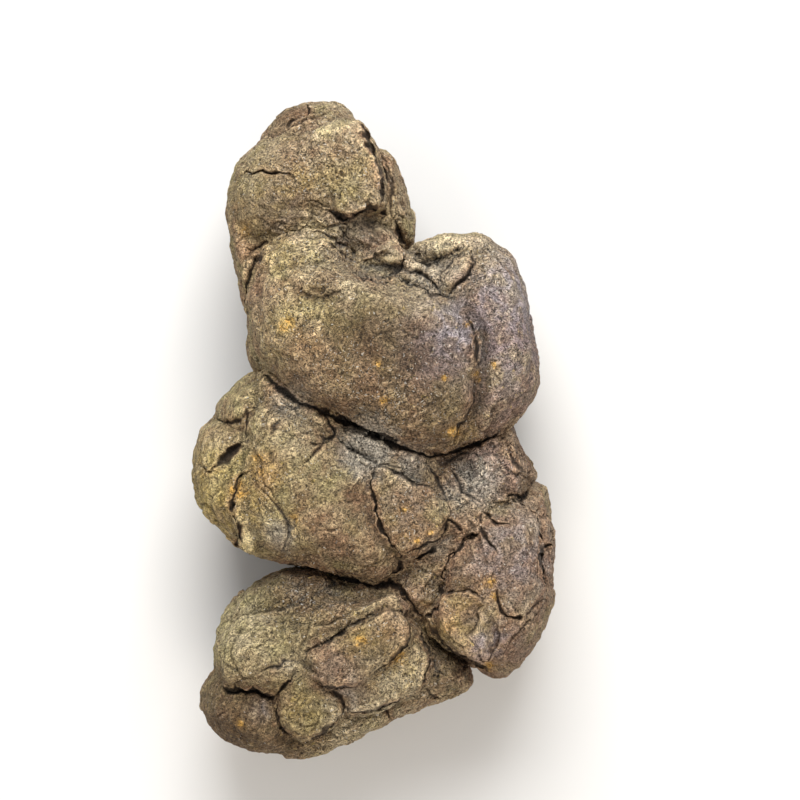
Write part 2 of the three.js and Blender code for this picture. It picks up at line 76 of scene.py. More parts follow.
def smooth_curve(points, closed, steps):
    """A curve through points b and c with neighbours a and d, for t from 0 to 1:
    ((2b) + (c - a) t + (2a - 5b + 4c - d) t^2 + (3b - a - 3c + d) t^3) / 2."""
    p = np.asarray(points, float)
    if closed:
        p = np.vstack([p[-1:], p, p[:2]])
    else:
        p = np.vstack([2 * p[:1] - p[1:2], p, 2 * p[-1:] - p[-2:-1]])
    a, b, c, d = (p[i:len(p) - 3 + i, None] for i in range(4))
    t = np.linspace(0, 1, steps, endpoint=False)[None, :, None]
    curve = (2 * b + (c - a) * t + (2 * a - 5 * b + 4 * c - d) * t**2 + (3 * b - a - 3 * c + d) * t**3) / 2
    curve = curve.reshape(-1, p.shape[1])
    return curve if closed else np.vstack([curve, p[-2:-1]])


def lump(name, at, mid, up, down, power, outline, lean=(0, 0)):
    """A lump: its centre in the plan, the level of its waist, how far it reaches up and down from there, how
    square it is, how its waist leans, and its outline as angles and radii around the centre."""
    centre = plan(at)
    spokes = smooth_curve(plan(outline), True, OUTLINE_STEPS) - centre
    angle = np.arctan2(spokes[:, 1], spokes[:, 0])
    turn = np.argsort(angle)
    radius = np.hypot(spokes[:, 0], spokes[:, 1])
    return dict(name=name, centre=centre, mid=mid, up=up, down=down, power=power, lean=lean,
                angle=angle[turn], radius=radius[turn], reach=radius.max())


# The small end: a blunt knob with a loose chip on it, and the rough neck under it. In each tier the core is
# buried and shows only at the bottom of the creases, and the lumps named back_ are the underside.
HEAD_LUMPS = [
    lump("head_core", at=(312, 205), mid=12.5, up=8, down=7, power=2.3,
         outline=[(268, 152), (300, 124), (345, 126), (372, 150), (392, 190), (402, 230), (396, 265),
                  (345, 295), (270, 292), (246, 262), (238, 220), (240, 180)]),
    lump("head", at=(308, 190), mid=13.5, up=10.6, down=7.5, power=2.4, lean=(0.03, -0.03),
         outline=[(260, 143), (285, 131), (315, 123), (345, 118), (362, 130), (376, 155), (385, 185),
                  (386, 215), (374, 240), (345, 254), (300, 258), (262, 252), (238, 234), (228, 206),
                  (234, 172), (246, 155)]),
    lump("crown", at=(316, 145), mid=11.8, up=7.8, down=5.5, power=2.5, lean=(0, -0.08),
         outline=[(264, 142), (276, 119), (298, 104), (325, 102), (345, 108), (353, 121), (366, 150),
                  (335, 195), (280, 190)]),
    lump("cheek", at=(390, 200), mid=12.8, up=7.4, down=5.5, power=2.4, lean=(-0.22, 0),
         outline=[(368, 150), (388, 153), (400, 176), (408, 200), (414, 225), (411, 246), (394, 254),
                  (366, 244), (352, 200), (356, 170)]),
    lump("chip", at=(348, 180), mid=19, up=5.6, down=4, power=5, lean=(-0.05, -0.03),
         outline=[(316, 138), (348, 125), (364, 129), (376, 154), (385, 185), (385, 208), (373, 216),
                  (356, 223), (341, 221), (333, 203), (319, 180)]),
    lump("neck", at=(318, 262), mid=12.5, up=9, down=6.5, power=2.8, lean=(0, -0.05),
         outline=[(236, 240), (270, 225), (320, 212), (375, 212), (402, 235), (406, 262), (395, 295),
                  (345, 320), (290, 320), (248, 300)]),
    lump("throat_chip", at=(335, 240), mid=16, up=5.2, down=4, power=5, lean=(0.05, -0.15),
         outline=[(305, 234), (330, 225), (353, 228), (365, 244), (351, 259), (321, 257)]),
    lump("throat_fold", at=(364, 236), mid=15.5, up=5.6, down=4, power=5, lean=(-0.1, -0.06),
         outline=[(342, 230), (362, 222), (384, 226), (398, 240), (390, 256), (364, 252), (346, 246)]),
    lump("throat_side", at=(288, 238), mid=16, up=5.2, down=4, power=5, lean=(-0.05, -0.1),
         outline=[(261, 232), (285, 226), (307, 232), (311, 248), (290, 257), (265, 250)]),
    lump("neck_side", at=(252, 262), mid=12.8, up=7.6, down=5, power=2.4, lean=(0.04, 0),
         outline=[(228, 205), (231, 243), (238, 282), (250, 318), (272, 318), (288, 280), (280, 230),
                  (252, 205)]),
    lump("back_head", at=(315, 200), mid=11.5, up=5, down=7, power=2.2,
         outline=[(250, 165), (285, 135), (330, 120), (365, 140), (385, 185), (392, 225), (375, 262),
                  (320, 280), (262, 270), (240, 235), (238, 195)]),
    lump("back_neck", at=(325, 280), mid=11, up=5, down=7.5, power=2.3,
         outline=[(250, 250), (300, 240), (370, 240), (400, 262), (400, 300), (340, 330), (280, 325),
                  (255, 300)]),
]

# The upper tier: one great bean-shaped lump, the lobe beside it, and the folds in the valley above.
UPPER_LUMPS = [
    lump("upper_core", at=(395, 335), mid=14, up=9.5, down=10.5, power=2.4,
         outline=[(262, 305), (300, 258), (360, 258), (430, 254), (480, 250), (508, 275), (522, 320),
                  (528, 370), (508, 412), (458, 432), (400, 428), (330, 406), (278, 380), (262, 340)]),
    lump("great_lump", at=(374, 350), mid=17, up=13, down=9, power=2.7,
         outline=[(253, 305), (257, 278), (275, 262), (302, 258), (332, 262), (365, 276), (395, 285),
                  (425, 292), (455, 297), (476, 314), (486, 345), (487, 385), (480, 425), (455, 449),
                  (425, 454), (392, 443), (360, 424), (330, 412), (298, 399), (273, 375), (256, 345)]),
    lump("great_rim", at=(302, 276), mid=16, up=9.6, down=7, power=2.4,
         outline=[(250, 312), (252, 278), (256, 254), (276, 236), (306, 224), (338, 228), (358, 248),
                  (366, 285), (345, 330), (300, 340)]),
    lump("heel", at=(272, 345), mid=10.5, up=7, down=5, power=2.6,
         outline=[(252, 305), (247, 345), (250, 366), (268, 385), (300, 385), (305, 330), (282, 305)]),
    lump("right_lobe", at=(485, 340), mid=15, up=11.2, down=8, power=2.7, lean=(-0.05, 0),
         outline=[(428, 270), (450, 244), (480, 240), (505, 252), (519, 275), (526, 300), (531, 330),
                  (539, 362), (537, 390), (523, 412), (505, 431), (476, 444), (442, 442), (430, 400),
                  (428, 330)]),
    lump("curl", at=(450, 256), mid=16, up=7.6, down=6, power=3, lean=(0.03, 0.1),
         outline=[(406, 258), (420, 244), (452, 236), (484, 238), (498, 258), (484, 274), (460, 262),
                  (436, 258), (420, 262)]),
    lump("curl_ridge", at=(459, 281), mid=18, up=6.6, down=4, power=5, lean=(0.08, -0.02),
         outline=[(464, 254), (473, 258), (474, 280), (462, 302), (448, 306), (441, 300), (452, 280)]),
    lump("fold", at=(418, 276), mid=17.5, up=5, down=4, power=5, lean=(-0.02, 0.08),
         outline=[(398, 266), (410, 258), (426, 262), (438, 276), (444, 292), (436, 300), (414, 294),
                  (400, 288)]),
    lump("wedge", at=(376, 264), mid=18, up=5.2, down=4, power=5, lean=(-0.02, 0.1),
         outline=[(346, 266), (368, 252), (392, 243), (405, 256), (400, 268), (386, 282), (366, 286),
                  (350, 280)]),
    lump("back_great", at=(360, 350), mid=13, up=5, down=14.1, power=2.3,
         outline=[(262, 310), (300, 280), (370, 272), (430, 290), (455, 330), (450, 390), (420, 430),
                  (360, 425), (305, 400), (268, 360)]),
    lump("back_lobe", at=(478, 345), mid=12.5, up=5, down=12, power=2.3,
         outline=[(430, 270), (470, 250), (505, 262), (520, 300), (528, 350), (528, 390), (505, 420),
                  (460, 435), (430, 400), (420, 330)]),
]

# The lower tier: a long body, lobes to its left, plates and a hollow to its right.
LOWER_LUMPS = [
    lump("lower_core", at=(372, 495), mid=12.5, up=8, down=9.5, power=2.6,
         outline=[(212, 450), (248, 402), (300, 388), (360, 400), (430, 425), (480, 430), (512, 440),
                  (522, 490), (538, 540), (538, 600), (510, 650), (470, 645), (420, 600), (340, 568),
                  (262, 548), (222, 515)]),
    lump("long_body", at=(314, 488), mid=15, up=10.6, down=8, power=2.8,
         outline=[(246, 405), (268, 388), (300, 398), (335, 422), (360, 446), (380, 463), (377, 485),
                  (377, 508), (386, 530), (398, 550), (404, 562), (397, 577), (372, 581), (340, 574),
                  (308, 566), (283, 562), (255, 552), (240, 530), (236, 500), (240, 465), (244, 430)]),
    lump("left_lobe", at=(228, 480), mid=12.5, up=9.8, down=6.5, power=2.3, lean=(0.1, 0),
         outline=[(205, 424), (228, 417), (255, 420), (272, 455), (268, 500), (256, 552), (238, 546),
                  (225, 533), (205, 515), (196, 490), (193, 465), (197, 440)]),
    lump("lobe_plate", at=(245, 510), mid=17.5, up=5.6, down=4, power=4, lean=(-0.05, 0),
         outline=[(236, 476), (258, 467), (276, 480), (273, 515), (263, 549), (246, 548), (239, 532),
                  (235, 505)]),
    lump("left_shoulder", at=(258, 408), mid=13, up=8.6, down=6, power=2.3, lean=(0.1, -0.04),
         outline=[(265, 372), (245, 378), (228, 393), (217, 411), (222, 427), (240, 440), (275, 445),
                  (300, 412), (290, 385)]),
    lump("grey_shoulder", at=(300, 422), mid=15, up=8.6, down=6, power=2.8, lean=(0, 0.05),
         outline=[(262, 372), (300, 376), (345, 405), (362, 430), (345, 452), (300, 460), (262, 450),
                  (250, 420)]),
    lump("mid_band", at=(420, 495), mid=13, up=9, down=6, power=3.2, lean=(-0.02, -0.02),
         outline=[(330, 425), (380, 425), (440, 445), (470, 480), (492, 510), (485, 545), (455, 560),
                  (420, 580), (390, 570), (360, 520), (345, 470)]),
    lump("strap", at=(388, 455), mid=17, up=5.8, down=4, power=5, lean=(-0.05, 0.05),
         outline=[(329, 425), (369, 429), (411, 439), (438, 456), (447, 479), (436, 492), (411, 483),
                  (385, 472), (353, 464), (336, 448)]),
    lump("heart", at=(407, 508), mid=18.5, up=5.7, down=4, power=5, lean=(-0.1, -0.02),
         outline=[(379, 462), (395, 465), (415, 479), (438, 488), (445, 505), (442, 526), (437, 543),
                  (421, 552), (402, 558), (389, 544), (377, 521), (370, 494), (370, 476)]),
    lump("hollow", at=(470, 470), mid=13, up=7.6, down=6, power=3, lean=(0, -0.06),
         outline=[(415, 430), (470, 425), (505, 420), (520, 455), (520, 510), (480, 530), (445, 500)]),
    lump("hollow_chip", at=(462, 508), mid=16.5, up=5.3, down=4, power=5, lean=(0, -0.05),
         outline=[(439, 489), (462, 483), (486, 500), (487, 523), (466, 535), (445, 531)]),
    lump("crumb", at=(418, 582), mid=14, up=6.2, down=5, power=3,
         outline=[(394, 566), (415, 552), (438, 560), (450, 586), (438, 606), (424, 612), (402, 604),
                  (386, 585)]),
    lump("waist_core", at=(385, 580), mid=11.5, up=7.4, down=7.5, power=2.3,
         outline=[(325, 530), (400, 515), (455, 550), (450, 620), (410, 645), (345, 625), (310, 575)]),
    lump("back_left", at=(290, 480), mid=11.5, up=5, down=12.6, power=2.3,
         outline=[(215, 430), (250, 400), (300, 405), (345, 430), (370, 470), (370, 520), (340, 560),
                  (285, 555), (240, 535), (210, 500)]),
    lump("back_mid", at=(408, 500), mid=11, up=5, down=12, power=2.4,
         outline=[(345, 430), (400, 430), (450, 445), (470, 490), (455, 540), (410, 575), (365, 560),
                  (345, 500)]),
]

# The right side: a cracked slab under a shoulder, with a disc and a strip on its edges.
SLAB_LUMPS = [
    lump("right_shoulder", at=(506, 464), mid=12, up=8.5, down=6, power=2.6, lean=(-0.12, 0),
         outline=[(484, 432), (508, 424), (520, 444), (530, 462), (535, 475), (527, 485), (520, 510),
                  (488, 515), (472, 480), (474, 450)]),
    lump("slab", at=(490, 580), mid=14, up=9.8, down=7, power=3, lean=(-0.06, 0.02),
         outline=[(478, 508), (505, 497), (530, 500), (541, 512), (544, 560), (546, 600), (534, 640),
                  (508, 668), (482, 662), (448, 648), (428, 628), (424, 612), (436, 598), (438, 575),
                  (446, 552), (460, 533), (476, 528)]),
    lump("edge_strip", at=(535, 555), mid=12.5, up=6.8, down=5.5, power=2.4, lean=(-0.2, 0),
         outline=[(515, 492), (540, 484), (548, 495), (551, 530), (553, 560), (552, 590), (546, 618),
                  (530, 635), (512, 590), (510, 530)]),
    lump("slab_foot", at=(505, 628), mid=11.5, up=8.8, down=6.5, power=2.4, lean=(-0.1, 0),
         outline=[(500, 590), (552, 588), (546, 618), (531, 650), (516, 668), (500, 680), (480, 672),
                  (458, 652), (455, 615), (470, 590)]),
    lump("disc", at=(468, 618), mid=18.5, up=5.5, down=4, power=5, lean=(-0.1, -0.08),
         outline=[(449, 589), (468, 585), (486, 596), (495, 618), (497, 641), (486, 656), (465, 650),
                  (449, 636), (436, 616), (436, 599)]),
    lump("back_right", at=(490, 550), mid=11, up=5, down=9.5, power=2.3,
         outline=[(450, 450), (500, 440), (525, 480), (540, 540), (538, 590), (520, 640), (480, 650),
                  (450, 600), (435, 520)]),
]

# The broad end: rolls and plates over a low mass, with a foot at the left.
BASE_LUMPS = [
    lump("base_core", at=(335, 650), mid=11.5, up=7.5, down=8, power=2.5,
         outline=[(232, 640), (268, 588), (330, 578), (395, 588), (430, 625), (460, 665), (450, 688),
                  (395, 702), (335, 735), (270, 742), (222, 722), (215, 685)]),
    lump("low_ridge", at=(310, 605), mid=13, up=8.4, down=6, power=2.8,
         outline=[(222, 620), (240, 597), (264, 578), (285, 567), (312, 566), (345, 576), (378, 581),
                  (402, 595), (410, 620), (380, 650), (300, 655), (232, 650)]),
    lump("low_left", at=(272, 650), mid=13.5, up=10.3, down=7, power=2.6, lean=(0.06, 0.03),
         outline=[(226, 622), (245, 606), (280, 603), (315, 610), (330, 640), (322, 672), (300, 694),
                  (278, 698), (250, 690), (222, 682), (214, 656), (218, 634)]),
    lump("foot", at=(248, 710), mid=11.5, up=9.6, down=6.5, power=2.2, lean=(0.08, 0.08),
         outline=[(205, 684), (225, 664), (265, 668), (294, 690), (306, 722), (300, 740), (285, 752),
                  (262, 753), (236, 746), (216, 734), (203, 712), (202, 695)]),
    lump("tear", at=(310, 700), mid=16.6, up=5.8, down=4, power=4.5, lean=(0, 0.12),
         outline=[(300, 664), (323, 666), (339, 687), (344, 706), (328, 727), (309, 738), (291, 729),
                  (278, 712), (277, 694), (285, 678)]),
    lump("low_mass", at=(362, 652), mid=14, up=8.8, down=6.5, power=3, lean=(0, -0.01),
         outline=[(290, 620), (320, 598), (365, 596), (398, 590), (414, 612), (430, 642), (434, 668),
                  (424, 684), (402, 698), (372, 710), (345, 712), (315, 700), (295, 670)]),
    lump("roll", at=(358, 643), mid=18.5, up=6.1, down=5, power=5, lean=(-0.02, 0),
         outline=[(320, 641), (350, 622), (386, 602), (404, 608), (412, 624), (409, 640), (397, 652),
                  (381, 666), (344, 683), (326, 683), (312, 669), (304, 652)]),
    lump("roll_back", at=(350, 616), mid=17.5, up=5.8, down=5, power=5, lean=(0, 0.03),
         outline=[(293, 614), (327, 599), (366, 598), (396, 590), (411, 606), (397, 612), (352, 631),
                  (321, 646), (300, 652)]),
    lump("roll_front", at=(388, 672), mid=16.4, up=5.6, down=5, power=4.5, lean=(-0.07, 0.08),
         outline=[(331, 683), (369, 664), (398, 642), (416, 638), (430, 654), (433, 668), (424, 681),
                  (401, 696), (374, 708), (348, 708), (336, 695)]),
    lump("hem", at=(348, 722), mid=10.5, up=8.1, down=5.5, power=2.4,
         outline=[(278, 738), (310, 705), (345, 690), (385, 690), (414, 692), (418, 703), (386, 725),
                  (350, 743), (315, 755), (284, 757)]),
    lump("hem_right", at=(430, 668), mid=11, up=7.1, down=5.5, power=2.6,
         outline=[(385, 640), (415, 610), (440, 638), (465, 660), (475, 680), (470, 690), (440, 701),
                  (405, 713), (380, 710), (372, 680)]),
    lump("back_foot", at=(310, 660), mid=11, up=5, down=9.3, power=2.3,
         outline=[(225, 650), (260, 600), (320, 585), (380, 595), (400, 640), (380, 690), (320, 725),
                  (260, 735), (220, 710)]),
    lump("back_hem", at=(410, 655), mid=9.5, up=5, down=6.5, power=2.3,
         outline=[(380, 600), (420, 610), (455, 665), (460, 685), (420, 695), (370, 705), (350, 660)]),
]

# Each tier of the stone with the level line its net runs along, drawn from end to end, and its lumps.
TIERS = {
    "small_end": (((314, 262), (312, 158)), HEAD_LUMPS),
    "upper_tier": (((318, 330), (478, 345)), UPPER_LUMPS),
    "lower_tier": (((270, 478), (455, 510)), LOWER_LUMPS),
    "slab_side": (((490, 625), (505, 490)), SLAB_LUMPS),
    "broad_end": (((262, 668), (420, 655)), BASE_LUMPS),
}
AXIS_HEIGHT = 12.5


# ---------------------------------------------------------------- the lumps' common surface

def swell(p):
    """The slow waves at each point: along x, s sin(y) cos(z), along y, s sin(x) cos(z), and along z,
    h sin(x) sin(y), each at its own pitch. s grows below the waist."""
    x, y, z = p.T
    s = PLAN_SWELL + SIDE_SWELL * np.maximum(0, WAIST_HEIGHT - z)
    return np.column_stack([
        s * np.sin(y / 2.4 + 0.8) * np.cos(z / 3.1 + 0.4),
        s * np.sin(x / 2.2 + 2.1) * np.cos(z / 2.9 + 1.7),
        HEIGHT_SWELL * np.sin(x / 1.9 + 4.0) * np.sin(y / 2.3 + 0.2),
    ])


# A lump counts for the points that are nearer to its outline than this, in millimetres. FAR_AWAY is the
# distance outside of a point that is near none.
NEAR_LUMP, FAR_AWAY = 4, 99.0


def outside(p, lumps):
    """How far each point lies outside a tier's lumps, in millimetres.

    From a lump's centre, a point is s = ((plan distance / outline radius)^n + |height / reach|^n)^(1/n) of
    the way to the surface, so it is distance * (1 - 1 / s) outside. The lumps' distances are joined by a
    soft minimum, which is lower than the smaller of two by h^2 b / 4, with h = 1 - difference / b.
    """
    q = p - swell(p)
    found = np.full(len(p), FAR_AWAY)
    for one in lumps:
        dx = q[:, 0] - one["centre"][0]
        dy = q[:, 1] - one["centre"][1]
        near = np.flatnonzero(np.maximum(np.abs(dx), np.abs(dy)) < one["reach"] + NEAR_LUMP)
        dx, dy = dx[near], dy[near]
        dz = q[near, 2] - one["mid"] - one["lean"][0] * dx - one["lean"][1] * dy
        flat = np.hypot(dx, dy)
        radius = np.interp(np.arctan2(dy, dx), one["angle"], one["radius"], period=2 * np.pi)
        reach = np.where(dz > 0, one["up"], one["down"])
        n = one["power"]
        share = ((flat / radius)**n + np.abs(dz / reach)**n)**(1 / n) + 1e-6
        far = np.hypot(flat, dz) * (1 - 1 / share)
        before = found[near]
        h = np.maximum(CREASE_BLEND - np.abs(before - far), 0) / CREASE_BLEND
        found[near] = np.minimum(before, far) - h * h * CREASE_BLEND / 4
    return found


def steepest(p, lumps, step=0.03):
    """How far each point is outside, the outward direction, and how fast the distance grows that way. Both
    come from the slopes along x, y and z, (outside a step further - outside here) / step."""
    here = outside(p, lumps)
    slope = np.column_stack([outside(p + step * axis, lumps) - here for axis in np.eye(3)]) / step
    size = np.linalg.norm(slope, axis=1, keepdims=True) + 1e-9
    return here, slope / size, size[:, 0]


def press_on(p, lumps, least_slope=0.3, longest=0.8):
    """Points moved onto the surface: a step back by the distance outside over the slope, no longer than
    longest."""
    here, out, size = steepest(p, lumps)
    return p - out * np.clip(here / np.maximum(size, least_slope), -longest, longest)[:, None]


# ---------------------------------------------------------------- a tier's net

# Rings from one end of a tier to the other, and steps round each ring. The coarse net is laid first and
# evened out in COARSE_PASSES passes. Each of its steps is then split in equal parts, twice, with some more
# passes each time.
COARSE_ROWS, COARSE_AROUND = 42, 60
COARSE_PASSES = 40
REFINES = [(2, 12), (3, 4)]

# The share of the rings on each end, how much closer the steps are set on the upper side, and where the
# search for the surface starts and how it goes on, in millimetres.
CAP_SHARE = 0.22
OPEN_UP = 0.35
SEARCH_FROM, SEARCH_STEP = 30.0, 0.4

# How much stronger neighbours pull on the upper side, which starts at one level and is full at the next.
UPPER_PULL, UPPER_FROM, UPPER_FULL = 2.2, 9, 17
SLIDE = 0.6


def first_net(axis, lumps):
    """The coarse net. A row looks at an angle a from the tier's axis, which goes from 0 to a right angle
    over the first end, stays there, and goes on to a half turn over the other end. A turn b = 2 pi u +
    k cos(2 pi u) goes round the axis, closer set on the upper side. The point is the outermost place where
    the line from the axis along -cos a axis + sin a (cos b side + sin b up) enters the lumps."""
    ends = plan(axis)
    run = ends[1] - ends[0]
    rows = np.arange(COARSE_ROWS + 1) / COARSE_ROWS
    knots = [0, CAP_SHARE, 1 - CAP_SHARE, 1]
    a = np.interp(rows, knots, [0, math.pi / 2, math.pi / 2, math.pi])
    along = np.interp(rows, knots, [0, 0, 1, 1])
    ahead = np.array([*run / np.linalg.norm(run), 0])
    side = np.array([ahead[1], -ahead[0], 0])
    u = 2 * math.pi * np.arange(COARSE_AROUND) / COARSE_AROUND
    b = (u + OPEN_UP * np.cos(u))[:, None]
    ring = np.cos(b) * side + np.sin(b) * (0, 0, 1)
    look = -np.cos(a)[:, None, None] * ahead + np.sin(a)[:, None, None] * ring
    look = look.reshape(-1, 3)
    start = np.column_stack([ends[0] + along[:, None] * run, np.full(len(rows), AXIS_HEIGHT)])
    start = np.repeat(start, COARSE_AROUND, axis=0)
    far = np.arange(SEARCH_FROM, 0, -SEARCH_STEP)
    inside = np.stack([outside(start + look * r, lumps) < 0 for r in far])
    first = inside.argmax(axis=0)
    return gather_ends((start + look * far[first][:, None]).reshape(len(rows), COARSE_AROUND, 3))


def gather_ends(net):
    """The net with its first and last ring drawn together at their middles."""
    net[0] = net[0].mean(axis=0)
    net[-1] = net[-1].mean(axis=0)
    return net


def even_out(net, lumps, passes):
    """The net with its points slid along the surface, by a share of the way to the middle of their four
    neighbours, and pressed on again in each pass. Neighbours on the upper side pull harder, by 1 + pull *
    height share, so that the points lie closer there."""
    shape = net.shape
    for _ in range(passes):
        _, out, _ = steepest(net.reshape(-1, 3), lumps)
        out = out.reshape(shape)
        right, left = np.roll(net, -1, axis=1), np.roll(net, 1, axis=1)
        high = 1 + UPPER_PULL * np.clip((net[..., 2:] - UPPER_FROM) / (UPPER_FULL - UPPER_FROM), 0, 1)
        pull_right = high + np.roll(high, -1, axis=1)
        pull_left = high + np.roll(high, 1, axis=1)
        around = (right * pull_right + left * pull_left) / (pull_right + pull_left)
        along = net.copy()
        along[1:-1] = (net[:-2] + net[2:]) / 2
        step = (around + along) / 2 - net
        step -= out * (step * out).sum(axis=2, keepdims=True)
        step[0] = step[-1] = 0
        net = gather_ends(press_on((net + SLIDE * step).reshape(-1, 3), lumps).reshape(shape))
    return net


def refine(net, times):
    """The net with each step split in equal parts: (1 - t) of one point and t of the next, first along the
    rows and then around the rings."""
    rows = np.arange((net.shape[0] - 1) * times + 1) / times
    low = np.minimum(rows.astype(int), net.shape[0] - 2)
    t = (rows - low)[:, None, None]
    net = net[low] * (1 - t) + net[low + 1] * t
    turns = np.arange(net.shape[1] * times) / times
    low = turns.astype(int)
    t = (turns - low)[None, :, None]
    return net[:, low] * (1 - t) + np.roll(net, -1, axis=1)[:, low] * t


def lay_net(axis, lumps):
    """The net of a tier: laid coarse and evened out, then made finer twice and evened out again."""
    net = even_out(first_net(axis, lumps), lumps, COARSE_PASSES)
    for parts, passes in REFINES:
        net = even_out(refine(net, parts), lumps, passes)
    return net


# ---------------------------------------------------------------- what is drawn on the stone

